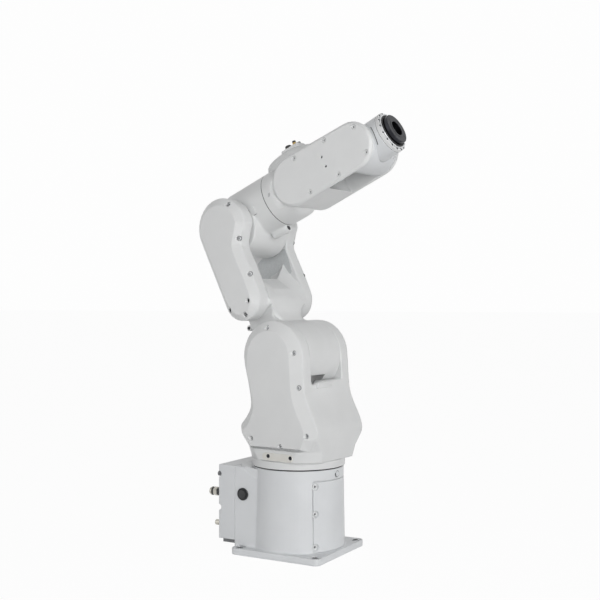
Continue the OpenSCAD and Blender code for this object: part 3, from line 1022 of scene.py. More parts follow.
    def power_socket(self) -> None:
        """Make the large round connector: flange, threads, lock ring, insert and pins."""
        spot = (self.panel_x, 0.4 * self.box_half, 0.61 * self.base_h)
        place = POSE.base() @ pointing(Axis.BACK, spot)
        piece = Workpiece("power_socket", (NICKEL, NYLON, BRASS))
        piece.turned([(20, 0.1), (20, 3.4), (19.4, 4.0), (15.4, 4.0)], place, 0, 56)
        profile = [(13.2, 4.0), (15.6, 4.0)]
        for turn in range(5):
            profile += [(15.1, 5.0 + turn), (15.7, 5.5 + turn)]
        profile += [(15.6, 18.5)]
        for turn in range(6):
            profile += [(15.1, 19.2 + turn), (15.7, 19.7 + turn)]
        profile += [(15.2, 25.8), (13.2, 25.8)]
        piece.band(profile, place, 0, 48)
        nut = [(16.4, 0.1, 10.2), (18, 0.7, 10.9), (18, 0.7, 17.3), (16.4, 0.1, 18.0)]
        piece.knurled(nut, 40, place)
        piece.turned([(13.2, 4.0), (13.2, 16.0), (12.6, 16.6)], place, 1, 40)
        for index in range(6):
            pin = place @ Matrix.Translation(level_way(60 * index) * 8 + Vector((0, 0, 16.4)))
            piece.turned([(1.6, 0.0), (1.6, 4.4), (1.1, 5.4)], pin, 2, 12)
        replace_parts(piece.done(self.body), "power_connector")

    def signal_plug(self) -> None:
        """Make the small round connector with its knurled nut, grip band and back nut."""
        spot = (self.panel_x, -0.69 * self.box_half, 0.65 * self.base_h)
        place = POSE.base() @ pointing(Axis.BACK, spot)
        piece = Workpiece("signal_plug", (NICKEL, NYLON, HOLE_SHADE))
        piece.turned([(12, 0.1), (12, 3.4), (11.4, 4.0), (7.6, 4.0)], place, 0, 40)
        piece.turned([(7.6, 3.8), (7.6, 12.2)], place, 0, 32)
        nut = [(9.6, 0.1, 12.0), (11, 0.7, 13.0), (11, 0.7, 22.8), (9.6, 0.1, 24.0)]
        piece.knurled(nut, 26, place)
        piece.turned([(7.8, 23.8), (8.0, 25.0), (8.0, 37.0), (7.4, 38.0)], place, 0, 32)
        piece.turned([(7.2, 37.8), (8.0, 38.4), (8.0, 43.4), (7.2, 44.0)], place, 1, 32)
        piece.turned([(8.6, 43.8, 6), (9.5, 44.6, 6), (9.5, 53.0, 6), (8.6, 54.0, 6)], place, 0, 48)
        piece.turned([(7.6, 53.8), (8.2, 54.6), (8.2, 56.6), (7.6, 57.0)], place, 1, 32)
        piece.turned([(7.6, 56.8), (9.2, 57.4), (9.2, 59.6), (8.0, 60.2)], place, 0, 32)
        mouth = [(7.4, 59.8), (7.4, 62.8), (6.8, 63.6), (5.0, 63.6), (4.8, 60.4)]
        piece.turned(mouth, place, 0, 32)
        # Painted shade: a dark disc at the bottom of the mouth.
        piece.turned([(4.7, 60.5), (4.7, 60.8)], place, 2, 24)
        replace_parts(piece.done(self.body), "signal_connector")

    def air_fittings(self) -> None:
        """Make the row of push-in air fittings."""
        piece = Workpiece("base_push_in_fittings", (NICKEL, NYLON, HOLE_SHADE))
        collet = [
            (5.2, 38.8), (6.0, 39.4), (6.0, 50.6), (5.2, 51.6), (3.4, 51.6), (3.1, 50.8), (3.0, 44.0),
        ]
        for index in range(4):
            across = (-0.66 + 0.28 * index) * self.box_half
            place = POSE.base() @ pointing(Axis.BACK, (self.panel_x, across, 0.28 * self.base_h))
            piece.turned([(6.4, 0.1, 6), (7, 0.8, 6), (7, 13.2, 6), (6.4, 14.0, 6)], place, 0, 36)
            piece.turned([(6.2, 13.8), (6.6, 14.6), (6.6, 35.0), (6.0, 36.0)], place, 0, 32)
            piece.turned([(5.0, 35.8), (5.0, 39.0)], place, 0, 28)
            piece.turned(collet, place, index % 2, 32)
            # Painted shade: a dark disc at the bottom of each collet.
            piece.turned([(2.9, 44.1), (2.9, 44.4)], place, 2, 20)
        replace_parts(piece.done(self.body), "base_air_fittings")


def both_sides(
    frame_matrix: Matrix,
    spots: Sequence[Point2],
    depth: float,
    look: HeadLook = HeadLook.ZINC,
    head_r: float = HEAD_R,
    bore_r: float = BORE_R,
) -> list[list[SunkScrew]]:
    """Give the screws of a pair of side covers.

    Args:
        frame_matrix: Frame that the covers lie in.
        spots: X and Z of each screw in that frame.
        depth: Distance of the bore floors from the middle plane.
        look: What the heads look like.
        head_r: Radius of the heads.
        bore_r: Radius of the bores.

    Returns:
        The right cover's screws and the left cover's.
    """
    return [
        [
            SunkScrew(frame_matrix @ pointing(axis, (x, side * depth, z)), head_r, bore_r, look)
            for x, z in spots
        ]
        for side, axis in SIDES
    ]


def joined(*pairs: list[list[SunkScrew]]) -> list[list[SunkScrew]]:
    """Join pairs of screw lists, right with right and left with left."""
    return [sum(side, []) for side in zip(*pairs)]


def cover_pair(nodes: str, name: str, body: str, screws: list[list[SunkScrew]]) -> None:
    """Make the softened covers of both sides, with bores for their screws.

    Args:
        nodes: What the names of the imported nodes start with.
        name: What the names of the copies start with.
        body: Body that they ride on.
        screws: The right cover's screws and the left cover's.
    """
    for side, cuts in zip(("right", "left"), screws):
        node, copy = f"{nodes}_{side}_cover", f"{name}_{side}_skin"
        soft_copy(node, copy, body, COVER_ENAMEL, PRESSED, cuts)


@dataclass
class Turret:
    """Turret ring, body, side covers and stop plate.

    Attributes:
        body: Body that everything here rides on.
        screw_spots: X and Z of the side covers' screws.
        low_screw: X and Z of the lowest screw.
        screw_floor: Distance of the screw bores' floors from the middle plane.
        low_screw_floor: The same for the lowest screw.
        plate_centre: Middle of the stop plate's back face.
        plate_size: Length and height of the stop plate.
        plate_screw_x: Places of its screws from its middle.
        slot_low: Lowest corner of the notch in the front wall.
        slot_high: Highest corner of that notch.
        pad_centre: Middle of the stop pad's back face.
        joint_z: Lowest and highest point of the seal in the joint line.
        seal_r: Radius of that seal.
        seal_depth: How far in it reaches.
        lip_z: Bottom of the lip.
        seam_z: Seam between the lip and the covers.
        bowl_x: Middle of the round lip, forward of the turning axis.
        bowl_r: Radius of the lip at its bottom.
        lip_half: Half width of the lip between its flats.
        lip_flare: How much wider the lip is at the seam.
        lip_front: Reach of its front flat at the bottom, and how much that grows to the seam.
        lip_back: The same for its back flat.
        lip_rows: Height and chamfer of each section of the lip's sharp edge.
    """

    body: str = "turret"
    screw_spots: tuple[Point2, ...] = (
        (-13.0, 472.0), (53.0, 422.0), (64.0, 352.0), (86.0, 257.0), (-52.0, 242.5),
    )
    low_screw: Point2 = (23.0, 231.0)
    screw_floor: float = 87.0
    low_screw_floor: float = 91.0
    plate_centre: Point3 = (17.75, -98.0, 209.0)
    plate_size: Point2 = (76.0, 16.0)
    plate_screw_x: Point2 = (-22.75, 32.85)
    slot_low: Point3 = (38.0, -56.9, 356.5)
    slot_high: Point3 = (96.0, -20.0, 372.0)
    pad_centre: Point3 = (70.0, -16.0, 354.4)
    joint_z: Point2 = (181.1, 184.2)
    seal_r: float = 94.2
    seal_depth: float = 24.0
    lip_z: float = 199.0
    seam_z: float = 223.0
    bowl_x: float = 9.75
    bowl_r: float = 106.0
    lip_half: float = 98.0
    lip_flare: float = 6.0
    lip_front: Point2 = (89.25, 3.75)
    lip_back: Point2 = (81.75, 6.0)
    lip_rows: tuple[Point2, ...] = ((212.0, 0.0), (222.3, 0.0), (222.75, 0.45))

    def build(self) -> None:
        """Build and dress the turret."""
        screws = joined(
            both_sides(POSE.turret(), self.screw_spots, self.screw_floor),
            both_sides(POSE.turret(), (self.low_screw,), self.low_screw_floor),
        )
        slot = SlotCut(POSE.turret(), self.slot_low, self.slot_high)
        soft_copy("swing_ring", "turret_ring_skin", self.body, ENAMEL, MACHINED)
        soft_copy("swing_casting", "turret_cast_skin", self.body, ENAMEL, CAST, (slot,))
        cover_pair("swing", "turret", self.body, screws)
        fit_screws("turret_screws", self.body, sum(screws, []))
        self.stop_plate()
        self.stop_pad()
        self.lip_edge()
        self.joint_seal()

    def stop_plate(self) -> None:
        """Make the round-ended plate over the stop, with two black screws."""
        upright = Matrix.Rotation(math.pi / 2, 4, "X")
        place = POSE.turret() @ Matrix.Translation(self.plate_centre) @ upright
        width, height = self.plate_size
        piece = Workpiece("stop_plate", (PALE_PLATE, BLACK_OXIDE, HOLE_SHADE))
        corner = 0.47 * height
        rows = [
            (width, height, corner, -2.0), (width, height, corner, 1.4),
            (width - 0.8, height - 0.8, corner - 0.4, 2.0),
        ]
        piece.block(rows, place, 0, 10)
        head = [(3.4, 0.0), (3.4, 1.0), (2.9, 1.4), (1.8, 1.4, 6), (1.7, 0.6, 6)]
        for x in self.plate_screw_x:
            spot = place @ Matrix.Translation((x, 1.4, 1.6))
            piece.turned(head, spot, 1, 24)
            # Painted shade: a dark disc under each head, showing as a ring round it.
            piece.turned([(4.1, -0.4), (4.1, 0.5)], spot, 2, 24)
        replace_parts(piece.done(self.body), "stop_cover")

    def lip_edge(self) -> None:
        """Sharpen the lip under the covers, so that the seam above it stays a fine line."""
        piece = Workpiece("turret_lip_edge", (ENAMEL,))
        loops = []
        steps = 180
        for height, trim in self.lip_rows:
            share = (height - self.lip_z) / (self.seam_z - self.lip_z)
            loop = []
            for step in range(steps):
                angle = math.tau * step / steps
                x_way, y_way = math.cos(angle), math.sin(angle)
                flat, growth = self.lip_front if x_way > 0 else self.lip_back
                reach = min(
                    self.bowl_r + self.lip_flare * share,
                    self.lip_half / max(abs(y_way), 1e-6),
                    (flat + growth * share) / max(abs(x_way), 1e-6),
                )
                limit = reach - trim + 0.1
                loop.append(Vector((self.bowl_x + limit * x_way, limit * y_way, height)))
            loops.append(loop)
        piece.loft(loops, POSE.turret())
        piece.done(self.body)

    def stop_pad(self) -> None:
        """Make the raised pad on the front wall that the lower arm stops against."""
        piece = Workpiece("shoulder_stop_pad", (ENAMEL,))
        rows = [
            (54.0, 12.0, 2.5, 0.0), (54.0, 12.0, 2.5, 8.0), (53.0, 11.0, 2.2, 9.0),
            (50.6, 8.6, 1.6, 9.6),
        ]
        piece.block(rows, POSE.turret() @ pointing(Axis.FRONT, self.pad_centre))
        piece.done(self.body)

    def joint_seal(self) -> None:
        """Lay the black seal in the joint line under the turret ring."""
        piece = Workpiece("turret_joint_seal", (NITRILE,))
        section = square_section(self.seal_r, self.seal_r - self.seal_depth, *self.joint_z)
        piece.band(section, POSE.turret(), 0, 96)
        piece.done(self.body)


@dataclass
class LowerArm:
    """Forked lower arm and its covers.

    Attributes:
        body: Body that everything here rides on.
        screw_spots: Places of the covers' zinc screws, across and along the arm.
        black_spots: Places of the covers' black screws.
        screw_floor: Distance of the zinc screws' floors from the middle plane.
        black_floor: The same for the black screws.
        boss_spot: Place of the small screw boss behind the neck.
        boss_r: Radius of that boss.
        hub_r: Radius of the hub's barrel.
        hub_half: Half length of the barrel.
        pocket_low: Lowest corner of the pocket in the hub, in the turret's frame.
        pocket_high: Highest corner of that pocket.
        shade_loop: Outline of the painted shade on the bars' inner faces, across and along the arm.
        shade_y: Inner and outer side of that sheet from the middle plane.
        saddle_rows: Height, half width and front of each section of the neck.
        saddle_back: How far back the neck's sections reach.
        gusset_y: First and last place of the gussets' sections from the middle plane.
    """

    body: str = "lower_arm"
    screw_spots: tuple[Point2, ...] = (
        (36.8, 334.4), (31.0, 257.3), (26.2, 177.1), (-15.5, 103.5),
    )
    black_spots: tuple[Point2, ...] = ((4.1, 126.2), (-49.0, 128.0))
    screw_floor: float = 94.6
    black_floor: float = 98.6
    boss_spot: Point2 = (-55.1, 88.4)
    boss_r: float = 6.2
    hub_r: float = 74.4
    hub_half: float = 56.5
    pocket_low: Point3 = (36.0, -58.0, 338.0)
    pocket_high: Point3 = (96.0, 14.0, 374.0)
    shade_loop: tuple[Point2, ...] = (
        (-59.0, 176.0), (-4.0, 176.0), (20.0, 190.0), (24.0, 222.0), (24.0, 244.0), (-4.0, 254.0),
        (-36.0, 254.0), (-59.0, 246.0),
    )
    shade_y: Point2 = (65.2, 66.4)
    saddle_back: float = 40.0
    gusset_y: Point2 = (26.0, 66.6)
    saddle_rows: tuple[Point3, ...] = (
        (60.0, 40.0, 27.0), (66.0, 40.0, 26.0), (72.0, 40.5, 24.0), (78.0, 41.5, 22.0),
        (85.0, 44.0, 20.0), (91.0, 47.0, 18.8), (97.0, 51.0, 19.8), (103.0, 55.5, 23.0),
        (110.0, 61.0, 27.4), (117.0, 65.0, 30.4), (125.0, 66.3, 30.0),
    )

    def build(self) -> None:
        """Build and dress the lower arm."""
        screws = joined(
            both_sides(POSE.lower_arm(), self.screw_spots, self.screw_floor),
            both_sides(POSE.lower_arm(), self.black_spots, self.black_floor, HeadLook.BLACK),
        )
        cuts = (self.pocket(),)
        soft_copy("lower_arm_casting", "lower_arm_skin", self.body, ENAMEL, FILLETED, cuts)
        cover_pair("lower_arm", "lower_arm", self.body, screws)
        fit_screws("lower_arm_screws", self.body, sum(screws, []))
        self.neck_bosses()
        self.hub_barrel()
        self.saddle()
        self.gussets()
        self.inner_bar_shade()

    def hub_barrel(self) -> None:
        """Turn the hub's barrel sharp where it runs between the cheeks."""
        piece = Workpiece("shoulder_hub_barrel", (ENAMEL,))
        place = POSE.lower_arm() @ pointing(Axis.LEFT)
        piece.turned(drum_profile(self.hub_r, self.hub_half, 0.6, 34), place, 0, 160)
        sink(piece.done(self.body), (self.pocket(),))

    def pocket(self) -> SlotCut:
        """Give the cored pocket in the hub that opens above the turret's front wall."""
        return SlotCut(POSE.turret(), self.pocket_low, self.pocket_high)

    def inner_bar_shade(self) -> None:
        """Paint shade on the inside of both bars, behind the web, as thin grey sheets."""
        # Painted shade: a thin grey sheet on each bar's inner face.
        piece = Workpiece("bar_inner_painted_shade", (INNER_SHADE,))
        for side in (-1, 1):
            loops = [[Vector((n, side * y, u)) for n, u in self.shade_loop] for y in self.shade_y]
            piece.loft(loops, POSE.lower_arm())
        piece.done(self.body)

    def saddle(self) -> None:
        """Sweep the web down into the neck in one hollow curve."""
        piece = Workpiece("neck_saddle", (ENAMEL,))
        loops = []
        low, high, back = self.saddle_rows[0][0], self.saddle_rows[-1][0], self.saddle_back
        for up, half, front in self.saddle_rows:
            corner = 4.0 + 8.0 * (high - up) / (high - low)
            outline = pad(front + back, 2 * half, corner, up)
            loops.append([point + Vector(((front - back) / 2, 0.0, 0.0)) for point in outline])
        piece.loft(loops, POSE.lower_arm())
        piece.done(self.body, 60.0)

    def gussets(self) -> None:
        """Carry the web up both bars in sloping gussets, as the casting's cores leave them."""
        piece = Workpiece("web_gussets", (ENAMEL,))
        first, last = self.gusset_y
        for side in (-1, 1):
            loops = []
            for share in spread((0.0, 1.0), 12):
                lift = share**1.25
                y = side * (first + (last - first) * share)
                outline = (
                    (-30.0, 118.0), (30.0 + 0.6 * lift, 119.0), (23.6 + 7.6 * lift, 145.0),
                    (11.2 - 1.0 * lift, 165.0 + 33.0 * lift),
                    (1.6 + 4.6 * lift, 179.0 + 38.0 * lift),
                    (-6.0 + 2.0 * lift, 179.0 + 34.0 * lift), (-30.0, 172.0 + 20.0 * lift),
                )
                loops.append([Vector((n, y, u)) for n, u in outline])
            piece.loft(loops, POSE.lower_arm())
        piece.done(self.body, 50.0)

    def neck_bosses(self) -> None:
        """Make the small screw bosses behind the neck, one on each side."""
        piece = Workpiece("neck_screw_bosses", (ENAMEL, BLACK_OXIDE, HOLE_SHADE))
        across, along = self.boss_spot
        r = self.boss_r
        boss = [(r + 2.5, -6.0), (r, 6.0), (r, 22.0), (r - 0.8, 23.2), (3.6, 23.2)]
        for side, axis in SIDES:
            place = POSE.lower_arm() @ pointing(axis, (across, side * 30.0, along))
            piece.turned(boss, place, 0, 32)
            # Painted shade: a dark disc in each boss's bore, round the screw head.
            piece.turned([(3.5, 23.0), (3.5, 23.3)], place, 2, 20)
            piece.turned([(2.6, 23.2), (2.6, 24.2), (1.6, 24.4, 6)], place, 1, 24)
        piece.done(self.body)


@dataclass
class Elbow:
    """Elbow housing with its roll seal, guide pad and bored boss.

    Attributes:
        body: Body that everything here rides on.
        tube_r: Radius of the elbow tube.
        roll_seam: Elbow axis to the seam where the forearm rolls.
        axis_z: Forearm centre line above the elbow axis.
        boss_drop: Boss's centre line below the forearm's.
        pad_spot: Middle of the guide pad along the tube, and its turn about it in degrees.
        pad_size: Length and height of the guide pad.
    """

    body: str = "elbow"
    tube_r: float = 61.0
    roll_seam: float = 97.4
    axis_z: float = 30.5
    boss_drop: float = 66.0
    pad_spot: Point2 = (60.5, 14.5)
    pad_size: Point2 = (14.5, 17.5)

    def build(self) -> None:
        """Build and dress the elbow."""
        soft_copy("elbow_casting", "elbow_skin", self.body, ENAMEL, FILLETED)
        soft_copy("elbow_rear_cap", "elbow_cap_skin", self.body, ENAMEL, CAST)
        self.bored_boss()
        self.roll_seal()
        self.guide_pad()

    def bored_boss(self) -> None:
        """Make the bored boss that runs forward under the tube."""
        place = POSE.forearm() @ pointing(Axis.FRONT, (0.0, 0.0, self.axis_z - self.boss_drop))
        end = self.roll_seam - 1.5
        piece = Workpiece("elbow_bored_boss", (ENAMEL, HOLE_SHADE))
        boss = [
            (5.0, end - 24), (8.6, end - 20), (9.2, end - 14), (9.4, end - 1.0), (8.8, end),
            (6.0, end), (5.6, end - 0.7),
        ]
        piece.turned(boss, place)
        # Painted shade: a dark disc down in the mouth of the bore.
        piece.turned([(5.8, end - 0.8), (5.8, end - 0.3)], place, 1, 32)
        piece.done(self.body)

    def roll_seal(self) -> None:
        """Lay the black seal in the roll seam, and the tube's sharp machined lip beside it."""
        piece = Workpiece("roll_seam_seal", (NITRILE, ENAMEL))
        place = POSE.forearm() @ pointing(Axis.FRONT, (self.roll_seam, 0.0, self.axis_z))
        outer = self.tube_r - 0.3
        piece.band(square_section(outer, outer - 14, -0.5, 1.1), place, 0, 128)
        lip = self.tube_r + 0.1
        edge = [(lip, -6.0), (lip, -0.6), (lip - 0.3, -0.3), (lip - 6, -0.3), (lip - 6, -6.0)]
        piece.band(edge, place, 1, 128)
        piece.done(self.body)

    def guide_pad(self) -> None:
        """Make the small raised pad on the right side of the tube, with a grey block under it for its
        painted shadow.
        """
        along, turn = self.pad_spot
        width, height = self.pad_size
        angle = math.radians(turn)
        way = Vector((0.0, -math.cos(angle), -math.sin(angle)))
        spot = Vector((along, 0.0, self.axis_z)) + way * (self.tube_r - 1.6)
        place = POSE.forearm() @ pointing(way, spot)
        piece = Workpiece("elbow_guide_pad", (ENAMEL, BORE_SHADE))
        # Painted shadow: a grey block under the pad, shifted back and down, shows along two of its
        # edges.
        shift = POSE.forearm().to_3x3() @ Vector((-1.0, 0.0, -1.0))
        under = place @ Matrix.Translation(place.to_3x3().inverted() @ shift)
        piece.block([(width, height, 1.4, -4.0), (width, height, 1.4, 1.9)], under, 1)
        rows = [
            (width, height, 1.4, -2.0), (width, height, 1.4, 2.8),
            (width - 1.2, height - 1.2, 1.2, 3.6),
        ]
        piece.block(rows, place)
        piece.done(self.body)


@dataclass
class Forearm:
    """Forearm, its covers and the tool connections on top.

    Attributes:
        body: Body that everything here rides on.
        screw_spots: Places of the covers' screws, along and above the elbow axis.
        hole_spots: Places of the two small holes in each cover.
        hole_r: Radius of those holes.
        screw_floor: Distance of the bores' floors from the middle plane.
        collar_spot: Place of the screw in the collar behind the cover.
        collar_floor: Distance of its bore's floor from the middle plane.
        collar_screw: Radius of its head and of its bore.
        room_r: Radius of the room that the wrist swings in.
        room_half: Half width of that room.
        connector_s: Signal connector along the forearm.
        fitting_s: Air fittings along the forearm.
        plate_top: Top of the connector pad above the elbow axis.
        seam_s: Roll seam along the forearm.
        hump_l: Length of the hump.
        hump_root: Height that the hump's shell reaches down to.
        hump_round: How far its shoulders drop, as a share of its half width.
        pad_share: Place of the connector pad, as a share of the hump's length.
        axis_z: Forearm centre line above the elbow axis.
        collar_r: Radius of the collar.
        hump_rows: Share of the hump's length, half width and top of each of its sections.
        underside_rows: Distance and radius of each section of the round underside.
        underside_deg: Half the angle that the underside goes round.
        underside_wall: Its thickness.
    """

    body: str = "forearm"
    screw_spots: tuple[Point2, ...] = (
        (198.0, 71.0), (278.0, 71.0), (351.0, 62.0), (358.0, 2.0), (283.0, -9.0), (208.0, -11.0),
    )
    hole_spots: tuple[Point2, ...] = ((260.0, 42.0), (262.0, 20.0))
    hole_r: float = 2.9
    screw_floor: float = 52.6
    collar_spot: Point2 = (113.0, 28.0)
    collar_floor: float = 57.6
    collar_screw: Point2 = (3.4, 4.4)
    room_r: float = 97.0
    room_half: float = 45.6
    connector_s: float = 160.4
    fitting_s: float = 183.1
    plate_top: float = 117.0
    seam_s: float = 97.4
    hump_l: float = 126.0
    hump_root: float = 60.0
    hump_round: float = 0.55
    pad_share: float = 0.58
    axis_z: float = 30.5
    collar_r: float = 61.0
    hump_rows: tuple[Point3, ...] = (
        (0.03, 14.0, 92.0), (0.045, 18.0, 99.0), (0.075, 21.0, 104.5), (0.13, 23.5, 108.5),
        (0.22, 26.0, 111.5), (0.36, 28.0, 113.5), (0.50, 29.5, 114.3), (0.64, 30.2, 113.5),
        (0.80, 30.0, 109.5), (0.94, 28.0, 103.0), (1.04, 25.0, 95.0), (1.10, 22.0, 87.0),
    )
    underside_rows: tuple[Point2, ...] = (
        (104.0, 60.9), (118.0, 60.9), (134.0, 60.7), (146.0, 60.0), (152.0, 57.6), (157.0, 53.0),
        (161.0, 48.0),
    )
    underside_deg: float = 52.0
    underside_wall: float = 14.0

    def build(self) -> None:
        """Build and dress the forearm."""
        frame_matrix, floor = POSE.forearm(), self.screw_floor
        screws = joined(
            both_sides(frame_matrix, self.screw_spots, floor, HeadLook.PAINTED),
            both_sides(frame_matrix, self.hole_spots, floor, HeadLook.NONE, bore_r=self.hole_r),
        )
        collar = sum(
            both_sides(
                frame_matrix, (self.collar_spot,), self.collar_floor, HeadLook.ZINC,
                *self.collar_screw,
            ),
            [],
        )
        cuts = collar + [self.wrist_room()]
        soft_copy("forearm_casting", "forearm_skin", self.body, ENAMEL, CAST, cuts)
        cover_pair("forearm", "forearm", self.body, screws)
        fit_screws("forearm_screws", self.body, sum(screws, []) + collar)
        self.hump_shell()
        self.connector_pad()
        self.underside()
        self.collar_lip()
        self.tool_connector()
        self.tool_air()

    def wrist_room(self) -> RoundCut:
        """Give the clean cut of the room between the fork's arms."""
        place = pointing(Axis.LEFT, (POSE.fore_l, -self.room_half, POSE.elbow_off))
        return RoundCut(POSE.forearm() @ place, self.room_r, 2 * self.room_half, 192)

    def hump_shell(self) -> None:
        """Round the hump up steeply behind the collar, over the plainer casting."""
        piece = Workpiece("hump_shell", (ENAMEL,))
        loops = []
        for share, half, height in self.hump_rows:
            along = self.seam_s + share * self.hump_l
            loop = [Vector((along, half, self.hump_root))]
            for angle in spread((0.0, math.pi), 16):
                up = height - self.hump_round * half * (1 - math.sin(angle))
                loop.append(Vector((along, half * math.cos(angle), up)))
            loop.append(Vector((along, -half, self.hump_root)))
            loops.append(loop)
        piece.loft(loops, POSE.forearm())
        piece.done(self.body, 60.0)

    def connector_pad(self) -> None:
        """Make the small pad that carries the tool connections, let into the hump."""
        along = self.seam_s + self.pad_share * self.hump_l
        place = POSE.forearm() @ Matrix.Translation((along, 0.0, 0.0))
        piece = Workpiece("connector_pad", (ENAMEL, ZINC))
        top = self.plate_top
        rows = [(50.0, 32.0, 8.0, top - 9), (50.0, 32.0, 8.0, top - 1.2), (47.6, 29.6, 7.0, top)]
        piece.block(rows, place)
        head = [(2.4, 0.0), (2.4, 1.2), (1.9, 1.7), (1.1, 1.7, 6), (1.05, 0.9, 6)]
        for x in (-20.0, 20.0):
            for y in (-11.0, 11.0):
                piece.turned(head, place @ Matrix.Translation((x, y, top - 0.3)), 1, 20)
        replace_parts(piece.done(self.body), "forearm_connector_plate")

    def underside(self) -> None:
        """Carry the collar's round underside on under the covers, with a short taper at its end."""
        piece = Workpiece("forearm_underside", (ENAMEL,))
        loops = []
        half = self.underside_deg
        for along, r in self.underside_rows:
            outer, inner = [], []
            middle = Vector((along, 0.0, self.axis_z))
            for degrees in spread((-half, half), 24):
                angle = math.radians(degrees)
                way = Vector((0.0, math.sin(angle), -math.cos(angle)))
                outer.append(middle + way * r)
                inner.append(middle + way * (r - self.underside_wall))
            loops.append(outer + list(reversed(inner)))
        piece.loft(loops, POSE.forearm())
        piece.done(self.body, 40.0)

    def collar_lip(self) -> None:
        """Sharpen the machined lip of the collar beside the roll seam."""
        place = POSE.forearm() @ pointing(Axis.FRONT, (self.seam_s + 1.2, 0.0, self.axis_z))
        piece = Workpiece("collar_lip", (ENAMEL,))
        lip = self.collar_r + 0.1
        edge = [(lip, 0.4), (lip, 6.0), (lip - 6, 6.0), (lip - 6, 0.1), (lip - 0.3, 0.1)]
        piece.band(edge, place, 0, 128)
        piece.done(self.body)

    def tool_connector(self) -> None:
        """Make the capped signal connector on the hump."""
        place = POSE.forearm() @ pointing(Axis.UP, (self.connector_s, 0.0, self.plate_top))
        piece = Workpiece("tool_signal_connector", (BRASS, NYLON))
        piece.turned([(9.0, 0.05), (9.0, 2.4), (8.4, 3.0), (6.6, 3.0)], place, 0, 36)
        piece.turned([(6.2, 2.8), (6.2, 4.4)], place, 0, 32)
        cap = [(6.4, 0.1, 4.2), (7.0, 0.5, 4.8), (7.0, 0.5, 8.8), (6.2, 0.1, 9.8)]
        piece.knurled(cap, 20, place, 1)
        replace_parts(piece.done(self.body), "forearm_signal_connector")

    def tool_air(self) -> None:
        """Make the push-in air fittings on the hump."""
        piece = Workpiece("tool_push_in_fittings", (BRASS, NYLON, HOLE_SHADE))
        collet = [(3.2, 4.6), (4.0, 5.4), (4.0, 8.2), (3.5, 8.9), (2.2, 8.9), (2.0, 6.0)]
        for side in (-1, 1):
            place = POSE.forearm() @ pointing(Axis.UP, (self.fitting_s, 9.0 * side, self.plate_top))
            piece.turned([(4.1, 0.05, 6), (4.5, 0.5, 6), (4.5, 4.2, 6), (4.1, 4.8, 6)], place, 0, 36)
            piece.turned(collet, place, 1, 28)
            # Painted shade: a dark disc at the bottom of each collet.
            piece.turned([(1.9, 6.05), (1.9, 6.2)], place, 2, 16)
        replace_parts(piece.done(self.body), "forearm_air_fittings")


